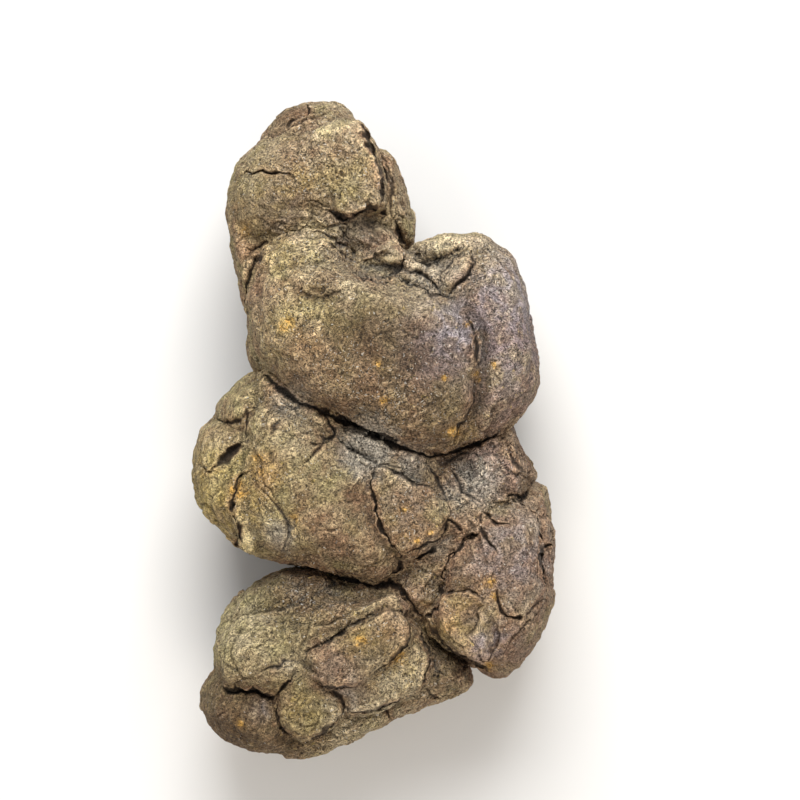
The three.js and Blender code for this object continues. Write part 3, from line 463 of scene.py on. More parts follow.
# The drawn cracks: half width, depth, and how far the stone on the right-hand side of the route lies lower
# (below nought, the left-hand side), in millimetres. The route is in drawing units.
CRACKS = [
    # small end: the plate's right edge and its thin shards, the chip, and the crown behind the plate
    (0.36, 1.4, -0.6, [(360, 129), (366, 141), (370, 150), (375, 160), (380, 171), (384, 182), (383, 196),
        (381, 208)]),
    (0.30, 1.1, 0.8, [(331, 216), (338, 219), (345, 223), (352, 224), (358, 220), (364, 218), (371, 217),
        (381, 211)]),
    (0.45, 1.2, 0.4, [(360, 218), (368, 216), (376, 214), (385, 218)]),
    (0.18, 0.6, -0.3, [(378, 150), (384, 166), (390, 184), (392, 200), (390, 214), (394, 224)]),
    (0.36, 0.9, 0, [(393, 222), (398, 229), (402, 240), (408, 247)]),
    (0.16, 0.4, 0, [(402, 190), (405, 205), (404, 222)]),
    (0.20, 0.4, -0.7, [(262, 142), (275, 139), (288, 136), (296, 130), (304, 125), (316, 120), (330, 117)]),
    (0.34, 0.7, 0, [(288, 131), (293, 125), (299, 119)]),
    (0.16, 0.6, 0, [(306, 105), (309, 112), (307, 119)]),
    (0.22, 0.7, 0.5, [(243, 177), (250, 175), (257, 178), (264, 175), (272, 177), (288, 178), (296, 184)]),
    (0.18, 0.3, 0, [(299, 137), (302, 150), (302, 163), (308, 172)]),
    (0.16, 0.3, 0, [(336, 178), (342, 180), (350, 179)]),
    (0.18, 0.4, 0, [(307, 208), (315, 205), (322, 208), (332, 214)]),
    (0.22, 0.6, 0.3, [(250, 250), (256, 252), (262, 248), (268, 243), (274, 246)]),
    (0.34, 0.9, -0.4, [(264, 252), (261, 260), (255, 270), (251, 281), (248, 296), (246, 312)]),
    (0.16, 0.3, 0, [(262, 238), (275, 233), (288, 227), (300, 224)]),
    # the folds between the small end and the great lump
    (0.20, 0.6, 0.8, [(312, 237), (324, 239), (336, 243), (348, 248), (358, 256), (366, 261)]),
    (0.20, 0.6, 0.8, [(322, 247), (334, 252), (344, 256), (352, 262), (360, 265)]),
    (0.18, 0.4, -0.3, [(344, 224), (350, 232), (346, 240), (340, 243)]),
    (0.18, 0.5, 0.4, [(368, 262), (376, 258), (386, 252), (396, 246)]),
    (0.26, 0.8, -0.6, [(394, 222), (397, 232), (400, 243), (406, 256)]),
    (0.18, 0.5, 0.9, [(374, 261), (384, 265), (395, 267), (405, 262)]),
    (0.22, 0.8, -0.4, [(346, 270), (354, 274), (362, 278), (374, 283), (384, 284), (393, 281), (399, 274),
        (402, 266), (408, 258)]),
    (0.26, 0.6, 0, [(405, 250), (414, 256), (424, 257), (432, 247)]),
    (0.24, 0.8, 0.7, [(423, 262), (432, 262), (443, 260), (453, 255), (463, 251)]),
    (0.20, 0.6, 0.6, [(406, 260), (418, 262), (428, 267), (436, 274), (438, 282)]),
    (0.22, 0.8, 0.7, [(407, 275), (417, 275), (427, 280), (435, 287), (440, 296)]),
    (0.22, 0.7, -0.4, [(396, 284), (410, 288), (424, 293), (437, 299), (448, 300), (457, 300)]),
    (0.24, 0.9, -0.6, [(466, 258), (471, 266), (469, 275), (461, 283), (453, 290), (446, 298)]),
    (0.20, 0.6, 0.3, [(460, 256), (451, 268), (444, 277), (438, 288)]),
    (0.16, 0.4, -0.2, [(497, 262), (505, 272), (510, 280)]),
    # the great lump and the lobe beside it
    (0.14, 0.25, 0.7, [(303, 289), (311, 296), (322, 299), (334, 297), (344, 293)]),
    (0.16, 0.3, 0, [(296, 336), (304, 329), (314, 322), (322, 320)]),
    (0.24, 1.0, -0.4, [(463, 318), (469, 328), (473, 341), (475, 355), (475, 371)]),
    (0.18, 0.4, 0.2, [(482, 328), (480, 340), (482, 352), (479, 366), (476, 380)]),
    (0.22, 0.7, -0.4, [(474, 374), (472, 388), (468, 402), (465, 414), (459, 428), (452, 444)]),
    (0.14, 0.3, 0, [(400, 416), (410, 418), (420, 415)]),
    (0.16, 0.3, 0, [(255, 345), (262, 349), (268, 356)]),
    # the gaps between the tiers
    (0.32, 1.2, 0, [(262, 371), (280, 386), (298, 401), (314, 408)]),
    (0.48, 1.5, 0, [(298, 401), (330, 414), (360, 424), (385, 437), (408, 449), (430, 455), (444, 454)]),
    (0.32, 1.2, 0, [(430, 455), (455, 450), (485, 439), (506, 430)]),
    (0.9, 0.5, 0, [(438, 470), (445, 461), (458, 455), (474, 451)]),
    (0.42, 1.4, 0, [(262, 558), (290, 563), (318, 568), (345, 577), (372, 582), (392, 581), (402, 590),
        (412, 604), (424, 616)]),
    # the left lobe: its notch, its open diamond, and the cracked plate beside it
    (0.26, 0.7, 0.3, [(219, 419), (230, 421), (241, 420), (248, 414)]),
    (0.24, 0.8, 0, [(247, 404), (250, 416), (250, 428), (246, 441)]),
    (0.30, 1.0, 0, [(215, 469), (224, 461), (231, 453), (238, 446), (248, 438)]),
    (0.60, 1.5, 0, [(220, 464), (228, 457), (236, 449), (243, 442)]),
    (0.16, 0.5, 0, [(203, 465), (210, 471), (220, 469)]),
    (0.28, 1.0, -0.5, [(252, 470), (244, 474), (239, 481), (236, 491), (235, 502), (237, 513), (240, 522)]),
    (0.42, 1.4, -0.3, [(243, 518), (242, 528), (240, 538), (238, 550)]),
    (0.20, 0.4, 0.3, [(258, 446), (262, 460), (266, 474), (273, 486), (280, 497)]),
    (0.22, 0.5, -0.4, [(262, 482), (272, 493), (282, 506), (290, 519), (291, 532), (286, 543), (281, 552)]),
    (0.30, 0.6, 0, [(273, 433), (278, 426), (283, 419)]),
    # the body plate with its corner plate, and the heart-shaped plate
    (0.18, 0.4, -0.3, [(285, 402), (292, 408), (300, 409), (310, 405)]),
    (0.28, 0.8, 0.5, [(316, 408), (326, 414), (332, 425), (336, 434), (328, 438), (322, 433)]),
    (0.18, 0.6, 0, [(312, 442), (318, 445), (324, 443)]),
    (0.20, 0.6, 0.4, [(336, 437), (328, 442), (320, 450), (311, 459), (304, 464)]),
    (0.20, 0.6, -0.8, [(337, 436), (344, 442), (352, 449), (362, 455), (372, 459), (379, 463)]),
    (0.22, 1.2, -0.3, [(377, 466), (374, 477), (371, 489), (374, 501), (377, 512), (381, 523), (387, 534),
        (394, 543), (400, 550)]),
    (0.22, 0.8, -0.4, [(378, 465), (390, 469), (402, 475), (412, 482), (424, 484), (438, 490)]),
    (0.22, 0.8, -0.6, [(438, 490), (445, 500), (446, 513), (443, 526), (438, 537), (428, 543), (415, 547),
        (402, 551)]),
    (0.22, 1.0, 0, [(399, 548), (401, 557), (398, 567), (392, 574)]),
    (0.14, 0.3, 0, [(340, 500), (355, 499), (368, 498)]),
    (0.14, 0.3, 0, [(322, 524), (334, 527), (344, 523)]),
    # the strip and the dusty hollow between the plates and the slab
    (0.22, 0.7, -0.3, [(424, 460), (432, 469), (437, 479), (443, 490), (447, 503)]),
    (0.22, 0.7, -0.3, [(446, 462), (455, 476), (463, 490), (472, 498), (481, 503)]),
    (0.24, 0.8, 0.3, [(440, 527), (446, 518), (455, 522), (462, 531)]),
    (0.30, 1.0, 0, [(402, 556), (414, 555), (427, 551), (438, 543)]),
    (0.24, 0.8, 0, [(500, 500), (512, 494), (522, 496), (526, 488), (532, 484)]),
    (0.24, 0.7, -0.5, [(502, 438), (507, 452), (513, 463), (522, 470), (534, 471)]),
    # the slab
    (0.26, 1.1, -0.6, [(472, 531), (465, 533), (461, 542), (452, 552), (447, 562), (443, 573), (441, 586),
        (437, 600)]),
    (0.20, 0.7, 0, [(464, 533), (472, 534), (479, 531)]),
    (0.24, 0.9, 0.3, [(480, 508), (479, 520), (482, 531), (488, 540), (496, 550)]),
    (0.22, 0.7, 0.3, [(482, 509), (489, 517), (497, 521), (507, 520)]),
    (0.18, 0.5, 0.4, [(486, 503), (500, 500), (516, 501), (528, 506), (537, 513)]),
    (0.26, 1.1, -0.6, [(537, 508), (538, 525), (539, 545), (540, 562), (543, 576), (546, 594)]),
    (0.24, 0.9, 0, [(539, 543), (552, 544)]),
    (0.22, 0.8, 0.4, [(494, 583), (496, 596), (500, 606), (508, 611), (520, 612)]),
    (0.36, 0.9, 0, [(506, 611), (513, 613), (520, 611)]),
    (0.18, 0.5, 0.3, [(522, 612), (529, 606), (536, 599), (546, 594)]),
    (0.18, 0.4, -0.4, [(547, 598), (538, 606), (526, 616), (514, 628), (504, 644)]),
    (0.16, 0.6, -0.8, [(437, 598), (446, 591), (456, 588), (467, 587), (476, 591), (484, 600)]),
    (0.14, 0.35, 0.8, [(484, 600), (478, 606), (477, 617), (472, 626), (462, 632)]),
    (0.14, 0.35, 0.7, [(490, 611), (496, 624), (497, 638), (491, 649), (482, 655), (474, 644)]),
    (0.14, 0.3, 0, [(497, 560), (490, 572), (493, 585)]),
    (0.14, 0.3, 0, [(527, 530), (532, 552), (535, 572), (530, 592)]),
    (0.36, 1.2, 0, [(438, 600), (433, 607), (424, 616)]),
    (0.32, 0.9, 0.6, [(425, 617), (433, 629), (442, 641), (456, 650), (470, 656), (482, 664), (494, 676)]),
    # the broad end: its back fold, its two rolls, the long slot, and the tear-shaped lump
    (0.16, 0.3, 1.1, [(300, 602), (286, 606), (270, 609), (254, 612), (240, 616), (228, 628)]),
    (0.18, 0.4, -0.3, [(300, 602), (314, 602), (328, 598), (346, 599), (360, 602)]),
    (0.22, 0.8, -0.4, [(303, 655), (308, 648), (317, 643), (327, 638), (337, 630), (350, 622), (364, 614),
        (380, 606)]),
    (0.18, 0.4, -0.3, [(318, 622), (332, 618), (344, 612), (354, 607)]),
    (0.16, 0.35, 0, [(352, 622), (364, 618), (376, 612)]),
    (0.24, 0.8, -0.5, [(402, 606), (408, 618), (409, 630), (403, 641), (394, 651), (386, 659), (376, 665)]),
    (0.26, 0.8, -0.5, [(413, 618), (421, 634), (428, 648), (428, 662), (424, 676), (421, 688)]),
    (0.24, 0.7, 0.4, [(316, 672), (323, 678), (333, 681), (344, 681), (352, 680), (360, 676)]),
    (0.14, 0.4, 0, [(352, 661), (347, 668), (342, 676)]),
    (0.40, 1.5, 0.5, [(226, 683), (234, 688), (245, 687), (258, 686), (268, 690), (278, 694)]),
    (0.26, 0.9, 0, [(277, 694), (283, 684), (289, 675), (297, 666)]),
    (0.20, 0.5, 0, [(262, 668), (270, 662), (280, 661), (288, 655), (298, 653)]),
    (0.34, 0.9, 0.5, [(278, 696), (278, 708), (282, 719), (290, 729), (300, 737)]),
    (0.28, 0.8, 0.5, [(300, 737), (311, 736), (322, 729), (333, 718), (342, 706), (341, 693), (330, 682),
        (317, 672)]),
    (0.26, 0.7, 0.6, [(342, 697), (350, 704), (362, 708), (374, 707), (386, 702), (400, 695), (414, 689),
        (424, 683)]),
    (0.22, 0.7, 0, [(384, 702), (388, 710), (392, 718)]),
    (0.18, 0.5, 0, [(218, 714), (224, 711), (229, 707)]),
    (0.22, 0.6, 0.3, [(424, 686), (430, 694), (440, 698)]),
]

# How far the lower side and the lips of a crack reach, in millimetres.
LEDGE_REACH, LIP_REACH = 1.5, 0.6

# How the routes of the cracks wander: the height of a wave and of the finer roughness, and their sizes. The
# width changes with a roughness too, by a share, within limits. On steep ground it is narrower.
WANDER, WANDER_SIZE = 0.20, 2.3
JITTER, JITTER_SIZE = 0.16, 0.9
OPENING, OPENING_SIZE, OPENING_LIMITS = 1.1, 1.6, (0.6, 1.7)
STEEP_SHARE, STEEPEST_SHARE = 2.4, 0.4

# The drawn furrows: how far they reach to each side and how deep they are, in millimetres. Below nought in
# depth, it is a ridge. The route is in drawing units.
FURROWS = [
    (0.95, 1.1, [(455, 303), (470, 320), (480, 342), (481, 372), (477, 398), (468, 422), (458, 446)]),
    (1.5, -0.8, [(300, 276), (330, 286), (362, 294), (396, 303), (430, 311), (455, 322)]),
    (2.8, 1.3, [(322, 325), (360, 338), (398, 350), (436, 362)]),
    (1.2, -0.6, [(461, 332), (467, 356), (464, 386), (455, 414)]),
    (1.6, -0.4, [(498, 268), (508, 300), (510, 340), (506, 380), (494, 414)]),
    (0.80, -0.4, [(409, 268), (420, 267), (430, 273), (437, 284)]),
    (0.80, -0.3, [(408, 280), (420, 281), (431, 288), (440, 294)]),
    (0.65, -0.7, [(446, 294), (450, 283), (458, 272), (466, 260)]),
    (0.80, -0.6, [(412, 250), (428, 253), (444, 253), (460, 247)]),
    (0.80, 0.6, [(432, 266), (442, 266), (450, 262)]),
    (0.80, 0.4, [(446, 306), (460, 300), (470, 288), (474, 274)]),
    (0.80, -0.6, [(376, 256), (388, 252), (400, 250)]),
    (0.80, 0.4, [(358, 268), (372, 270), (384, 272)]),
    (1.3, -0.7, [(340, 224), (350, 232), (362, 240), (378, 244)]),
    (1.3, 1.3, [(448, 458), (462, 464), (476, 476)]),
    (0.80, 0.6, [(335, 244), (350, 250), (364, 256)]),
    (1.3, 0.5, [(240, 243), (262, 238), (284, 228), (304, 216), (326, 212)]),
    (1.0, 0.8, [(308, 294), (320, 296), (332, 294), (344, 296)]),
    (1.2, 0.5, [(256, 410), (255, 428), (256, 446)]),
    (1.8, -0.8, [(346, 434), (372, 444), (400, 456), (424, 470)]),
    (1.3, -0.4, [(308, 416), (320, 426), (318, 440)]),
    (1.4, 0.5, [(318, 610), (330, 622), (322, 636)]),
    (1.6, 0.5, [(300, 590), (330, 588), (352, 596)]),
    (1.0, 0.5, [(455, 520), (446, 540), (430, 556), (410, 560)]),
    (1.2, 0.5, [(492, 560), (494, 584), (502, 604)]),
    (1.2, -0.3, [(515, 520), (522, 550), (520, 590)]),
    (1.1, 0.6, [(425, 625), (436, 650), (436, 676)]),
]

# The drawn streaks of fine folds: the place, their reach and how high they stand, in millimetres, and the way
# they run in the plan, in degrees from +X. The streaks are this wide, and so many times as long.
STREAK_SIZE, STREAK_STRETCH = 0.75, 4
STREAKS = [
    ((350, 238), 4.0, 0.34, -22),
    ((384, 268), 3.5, 0.30, -18),
    ((428, 270), 3.5, 0.26, 30),
    ((290, 240), 4.0, 0.30, -12),
    ((385, 448), 4.5, 0.22, -25),
    ((478, 478), 4.0, 0.26, -50),
    ((340, 600), 6.0, 0.22, 28),
    ((260, 625), 5.0, 0.20, 30),
    ((395, 205), 3.5, 0.26, -75),
    ((300, 120), 3.5, 0.20, 25),
    ((445, 672), 4.0, 0.24, 22),
    ((340, 738), 5.0, 0.22, 15),
    ((535, 545), 4.0, 0.20, 85),
    ((500, 380), 5.0, 0.14, 80),
]

# How much of the creases between the lumps of a tier is filled, and how widely.
CREASE_FILL = 0.6
FILL_STEP, FILL_PASSES = 3, 22

# Places on the upper side that are broken into flakes: the place, its reach in millimetres, and how much.
BROKEN_PLACES = [
    ((320, 242), 5.5, 0.7),
    ((358, 236), 3.5, 1.0),
    ((375, 262), 5.0, 0.9),
    ((430, 272), 5.0, 0.9),
    ((260, 270), 3.5, 0.6),
    ((290, 410), 4.0, 0.5),
    ((380, 446), 5.0, 0.7),
    ((478, 468), 5.5, 1.0),
    ((455, 525), 3.0, 0.9),
    ((418, 582), 3.5, 0.7),
    ((330, 590), 4.5, 0.6),
    ((282, 535), 3.0, 0.5),
    ((235, 455), 3.0, 0.4),
    ((543, 540), 3.0, 0.6),
    ((300, 128), 3.0, 0.5),
    ((400, 215), 3.5, 0.6),
    ((445, 670), 4.0, 0.6),
    ((330, 735), 4.0, 0.6),
    ((298, 660), 2.5, 0.6),
]


# ---------------------------------------------------------------- noise

def lattice(cell, seed):
    """A random whole number for each cube of a lattice: its indices times large odd numbers, mixed twice."""
    mixed = cell[0] * 374761393 + cell[1] * 668265263 + cell[2] * 1440662683 + seed * 1013904223
    mixed &= 0xFFFFFFFF
    mixed = ((mixed ^ (mixed >> 13)) * 1274126177) & 0xFFFFFFFF
    return mixed ^ (mixed >> 16)


def spread(number):
    """Three even random numbers from 0 to 1, from the low, middle and high ten bits of a lattice number."""
    return ((number >> shift & 1023) / 1023 for shift in (0, 10, 20))


def ripple(p, size, seed):
    """Gradient noise, about -1 to 1. Each corner of a cube of the given size has a random slope, and the
    eight planes are blended with 6t^5 - 15t^4 + 10t^3 along each side."""
    q = (p / size).T
    cell = np.floor(q).astype(np.int64)
    t = q - cell
    w = t * t * t * (t * (t * 6 - 15) + 10)
    total = np.zeros(len(p))
    for corner in np.ndindex(2, 2, 2):
        slope = spread(lattice([cell[k] + corner[k] for k in range(3)], seed))
        plane = sum((2 * g - 1) * (t[k] - corner[k]) for k, g in enumerate(slope))
        total += plane * np.prod([w[k] if corner[k] else 1 - w[k] for k in range(3)], axis=0)
    return total * 1.5


def rough(p, size, octaves, seed, fade=0.5):
    """Ripples on ripples: each octave is half the size of the last, and fade times as high."""
    return sum(ripple(p, size / 2**k, seed + k) * fade**k for k in range(octaves))


def shards(p, size, seed):
    """Cell noise. Each cube holds one random point. Gives the distances to the nearest and the second
    nearest point, the vector from the nearest, and its random number."""
    q = p / size
    cell = np.floor(q).astype(np.int64)
    nearest = np.full(len(p), 9.0)
    second = np.full(len(p), 9.0)
    away = np.zeros_like(p)
    tag = np.zeros(len(p), np.int64)
    for shift in np.ndindex(3, 3, 3):
        there = cell + np.array(shift) - 1
        number = lattice(there.T, seed)
        vector = q - there - np.column_stack(list(spread(number)))
        far = np.linalg.norm(vector, axis=1)
        closer = far < nearest
        second = np.where(closer, nearest, np.minimum(second, far))
        away[closer] = vector[closer]
        tag[closer] = number[closer]
        nearest = np.where(closer, far, nearest)
    return nearest * size, second * size, away * size, tag


def smooth_step(x, low, high):
    """0 below low, 1 above high, and 3t^2 - 2t^3 between."""
    t = np.clip((x - low) / (high - low), 0, 1)
    return t * t * (3 - 2 * t)


# ---------------------------------------------------------------- what is carved into the lumps

def route_distance(p, route):
    """For each point: the plan distance to a curved route, how far along the route its nearest place is, from
    0 to 1, and the side it is on, 1 on the walker's right. It is the least distance to a straight step."""
    a, b = route[:-1], route[1:]
    step = b - a
    length = np.linalg.norm(step, axis=1)
    to = p[:, None, :] - a
    t = np.clip((to * step).sum(axis=2) / (length**2 + 1e-9), 0, 1)
    far = np.linalg.norm(to - t[..., None] * step, axis=2)
    best = far.argmin(axis=1)
    pick = np.arange(len(p))
    start = np.cumsum(length) - length
    turn = to[pick, best, 0] * step[best, 1] - to[pick, best, 1] * step[best, 0]
    return far[pick, best], (start[best] + t[pick, best] * length[best]) / length.sum(), np.sign(turn)


def route_parts(p, routes, reach):
    """For each drawn route, the points of its box in the plan, by number, and for those their distance to
    it, their place along it and their side."""
    for drawn, wide in zip(routes, reach):
        route = smooth_curve(plan(drawn), False, ROUTE_STEPS)
        low, high = route.min(axis=0) - wide, route.max(axis=0) + wide
        near = np.flatnonzero(((p > low) & (p < high)).all(axis=1))
        yield near, *route_distance(p[near], route)


# The fine cracks, the flakes and the pits: the sizes of their cells, and their widths and depths, in
# millimetres. A pit's radius is a share of its cell.
DRYING_CELL, DRYING_WIDTH, DRYING_DEPTH = 6.5, 0.42, 0.32
FLAKE_CELL, FLAKE_STEP, FLAKE_SLOPE = 2.6, 0.5, 0.35
FLAKE_WALL_WIDTH, FLAKE_WALL_DEPTH = 0.3, 0.22
SMALLEST_PIT, LARGEST_PIT = 0.14, 0.30
BROKEN_ALL_OVER, BROKEN_BELOW = 0.16, 0.75

# The waves of the skin, the crumbs of broken ground and the roughness of a crack's lips: their height and
# size in millimetres, their octaves and their seed. The pits: the size of their cells, their seed, the share
# of the cells that has one, and their depth.
SKIN_WAVES = [(0.26, 5.0, 2, 141), (0.20, 1.7, 4, 144), (0.07, 0.55, 1, 148)]
CRUMBS, ROUGH_LIPS = (0.12, 0.7, 2, 147), (0.16, 0.8, 3, 149)
PITS = [(1.9, 151, 0.30, 0.22), (0.9, 152, 0.25, 0.10)]

# Where the upper side begins and where it is full: by the upward part of the outward direction, and by the
# height in millimetres.
FACING_UP, LYING_HIGH = (-0.1, 0.25), (9, 12)

# What counts as a full mark of each kind, in millimetres, and how much the net is evened to measure it.
FULL_MARK = {"crack": 0.8, "lips": 1, "hollow": 0.10, "edge": 0.06, "deep": 0.9, "proud": 0.5}
NEAR_PASSES, WIDE_PASSES = 5, 90


def upper_side(p, out):
    """1 on the upper side and 0 below, where nothing is drawn: a smooth step of the outward direction times
    one of the height."""
    return smooth_step(out[:, 2], *FACING_UP) * smooth_step(p[:, 2], *LYING_HIGH)


def cracks(p, out):
    """How far the drawn cracks lower each point, how dark they are there, and how near their lips are.

    Within half its width, a crack is depth * (1 - distance / half)^0.7 deep. The lower side lies
    drop * exp(-(distance / reach)^2) lower. Both ends run out as sin(pi t)^0.4. The routes wander with the
    noise, by wave + jitter. The half width is multiplied by 1 + opening * roughness, within its limits, and
    on steep ground by the upward part of the outward direction. Nothing is cut into the underside."""
    flat = p[:, :2] + np.column_stack([
        WANDER * ripple(p, WANDER_SIZE, seed) + JITTER * rough(p, JITTER_SIZE, 2, seed + 1)
        for seed in (101, 103)
    ])
    open_up = np.clip(1 + OPENING * rough(p, OPENING_SIZE, 2, 106), *OPENING_LIMITS)
    open_up *= np.clip(STEEP_SHARE * out[:, 2], STEEPEST_SHARE, 1)
    depth, ledge, lips = np.zeros((3, len(p)))
    widths, deeps, drops, routes = zip(*CRACKS)
    reach = [max(3 * LIP_REACH, 2 * LEDGE_REACH * (drop != 0)) for drop in drops]
    for width, deep, drop, part in zip(widths, deeps, drops, route_parts(flat, routes, reach)):
        near, far, t, side = part
        run_out = np.sin(math.pi * np.clip(t, 0.02, 0.98))**0.4
        half = width * run_out * open_up[near]
        cut = deep * run_out * np.clip(1 - far / half, 0, 1)**0.7
        lower = np.clip(side * np.sign(drop), 0, 1) * abs(drop) * run_out * np.exp(-(far / LEDGE_REACH)**2)
        depth[near] = np.maximum(depth[near], cut)
        ledge[near] = np.maximum(ledge[near], lower)
        lips[near] = np.maximum(lips[near], run_out * deep * np.exp(-(far / LIP_REACH)**2))
    upper = upper_side(p, out)
    return (depth + ledge) * upper, depth * upper, lips * upper


def furrows(p, out):
    """How far the drawn furrows lower each point: depth * exp(-(distance / reach)^2), run out at both ends
    as sin(pi t)^0.5, added up."""
    total = np.zeros(len(p))
    reaches, depths, routes = zip(*FURROWS)
    parts = route_parts(p[:, :2], routes, [2.2 * reach for reach in reaches])
    for reach, deep, (near, far, t, _) in zip(reaches, depths, parts):
        total[near] += deep * np.sin(math.pi * np.clip(t, 0.01, 0.99))**0.5 * np.exp(-(far / reach)**2)
    return total * upper_side(p, out)


def drying_cracks(p):
    """Depth of the fine cracks all over: deep * (1 - (second - nearest) / wide)^1.3, along the walls of the
    cell noise where its two nearest points are nearly as far, and only where a slow noise is high."""
    bent = p + 0.9 * np.column_stack([ripple(p, 3.1, seed) for seed in (111, 112, 113)])
    nearest, second, _, _ = shards(bent, DRYING_CELL, 114)
    line = np.clip(1 - (second - nearest) / DRYING_WIDTH, 0, 1)**1.3
    where = smooth_step(ripple(p, 6.0, 115), 0.10, 0.45)
    return DRYING_DEPTH * line * where


def flakes(p):
    """Height of the broken flakes. Each cell of the noise is a flat shard with a level and a slope of its
    own, level + slope * way from its point, less a wall of deep * (1 - (second - nearest) / wide)."""
    bent = p + 0.35 * np.column_stack([ripple(p, 1.3, seed) for seed in (121, 122, 123)])
    nearest, second, away, tag = shards(bent * (1, 1, 0.8), FLAKE_CELL, 124)
    level, lean_x, lean_y = spread(tag)
    slope = (lean_x - 0.5) * away[:, 0] + (lean_y - 0.5) * away[:, 1]
    wall = np.clip(1 - (second - nearest) / FLAKE_WALL_WIDTH, 0, 1)
    return FLAKE_STEP * (level - 0.5) + FLAKE_SLOPE * slope - FLAKE_WALL_DEPTH * wall


def pits(p, size, seed, share, deep):
    """Depth of small round pits: a share of the cells has a pit at its point, deep * (1 - (r / R)^2)^2."""
    nearest, _, _, tag = shards(p, size, seed)
    chance, wide, _ = spread(tag)
    radius = size * (SMALLEST_PIT + (LARGEST_PIT - SMALLEST_PIT) * wide)
    bowl = np.clip(1 - (nearest / radius)**2, 0, 1)**2
    return deep * bowl * (chance < share)


def blob(p, at, reach):
    """How strongly a point belongs to a place in the drawing: exp(-(plan distance / reach)^2)."""
    far = np.hypot(*(p[:, :2] - plan(at)).T)
    return np.exp(-(far / reach)**2)


def streaks(p, out):
    """Height of the streaks: high * noise * exp(-(plan distance / reach)^2), with the noise stretched along
    the place's own way, added up over the places."""
    total = np.zeros(len(p))
    for seed, (at, reach, high, way) in enumerate(STREAKS, 181):
        here = blob(p, at, reach)
        near = np.flatnonzero(here > 0.02)
        turn = math.radians(way)
        ahead = p[near] @ (math.cos(turn), math.sin(turn), 0)
        aside = p[near] @ (-math.sin(turn), math.cos(turn), 0)
        lines = np.column_stack([ahead / STREAK_STRETCH, aside, p[near, 2]])
        total[near] += high * here[near] * rough(lines, STREAK_SIZE, 2, seed)
    return total * upper_side(p, out)


def broken_ground(p, out):
    """How much the stone is broken into flakes: a little everywhere, plus the strongest of the drawn places
    on the upper side, strength * exp(-(plan distance / reach)^2), and patches of a slow noise below."""
    drawn = np.max([blob(p, at, reach) * strength for at, reach, strength in BROKEN_PLACES], axis=0)
    below = BROKEN_BELOW * smooth_step(ripple(p, 9.0, 131), 0.0, 0.35)
    up = smooth_step(out[:, 2], -0.4, 0.3)
    return np.clip(BROKEN_ALL_OVER + drawn * up + below * (1 - up), 0, 1)


# ---------------------------------------------------------------- the stone's mesh

def even_filter(net, passes):
    """The net with every point moved half way to the mean of its four neighbours in each pass."""
    for _ in range(passes):
        middle = (np.roll(net, 1, axis=1) + np.roll(net, -1, axis=1)) / 2
        along = net.copy()
        along[1:-1] = (net[:-2] + net[2:]) / 2
        net = net * 0.5 + (middle + along) * 0.25
    return net


def net_normals(net):
    """Outward directions of a net's points: the cross product of its steps along and around, turned to face
    away from the net's middle."""
    around = np.roll(net, -1, axis=1) - np.roll(net, 1, axis=1)
    along = np.gradient(net, axis=0)
    across = np.cross(along, around)
    across[0], across[-1] = across[1].mean(axis=0), across[-2].mean(axis=0)
    across /= np.linalg.norm(across, axis=2, keepdims=True) + 1e-12
    middle = net.mean(axis=(0, 1))
    return across * np.sign((across * (net - middle)).sum())


def filled(net, out):
    """The net with the creases between its lumps partly filled: net + outward * fill * gap, where the gap is
    how far a coarser, evened net lies outside."""
    soft = refine(even_filter(net[::FILL_STEP, ::FILL_STEP], FILL_PASSES), FILL_STEP)
    gap = ((soft - net) * out).sum(axis=2, keepdims=True)
    return net + out * CREASE_FILL * np.maximum(gap, 0)


def waves(p, high, size, octaves, seed):
    """Ripples on ripples of a height: height * roughness."""
    return high * rough(p, size, octaves, seed)


def relief(p, out, lips):
    """How far the skin stands out at each point: waves of three sizes, flakes and crumbs times how broken
    the stone is, a roughness on the lips of the cracks and the streaks, less the small pits."""
    high = sum(waves(p, *one) for one in SKIN_WAVES)
    high += broken_ground(p, out) * (flakes(p) + waves(p, *CRUMBS))
    high += lips * waves(p, *ROUGH_LIPS) + streaks(p, out)
    return high - sum(pits(p, *one) for one in PITS)


def carve(net, lumps):
    """The net with its relief, and the marks of its points for the finish. The relief stands along the
    outward directions, and the cracks, ledges and furrows are cut straight down. A mark is 1 where its
    measure reaches its full value: hollow and edge measure the gap to the net evened a little, and deep and
    proud the gap to the net evened a lot."""
    _, out, _ = steepest(net.reshape(-1, 3), lumps)
    p = filled(net, out.reshape(net.shape)).reshape(-1, 3)
    lowered, crack, lips = cracks(p, out)
    lowered += furrows(p, out)
    drying = drying_cracks(p)
    high = relief(p, out, lips) - drying
    carved = gather_ends((p + out * high[:, None] - lowered[:, None] * (0, 0, 1)).reshape(net.shape))
    carved[..., 2] = np.maximum(carved[..., 2], 0)
    facing = net_normals(even_filter(carved, 2))
    near = ((even_filter(carved, NEAR_PASSES) - carved) * facing).sum(axis=2).ravel()
    wide = ((even_filter(carved, WIDE_PASSES) - carved) * facing).sum(axis=2).ravel()
    measures = dict(crack=crack + drying, lips=lips, hollow=near, edge=-near, deep=wide, proud=-wide)
    marks = {mark: np.clip(value / FULL_MARK[mark], 0, 1) for mark, value in measures.items()}
    return carved, marks | tone_marks(p, out)


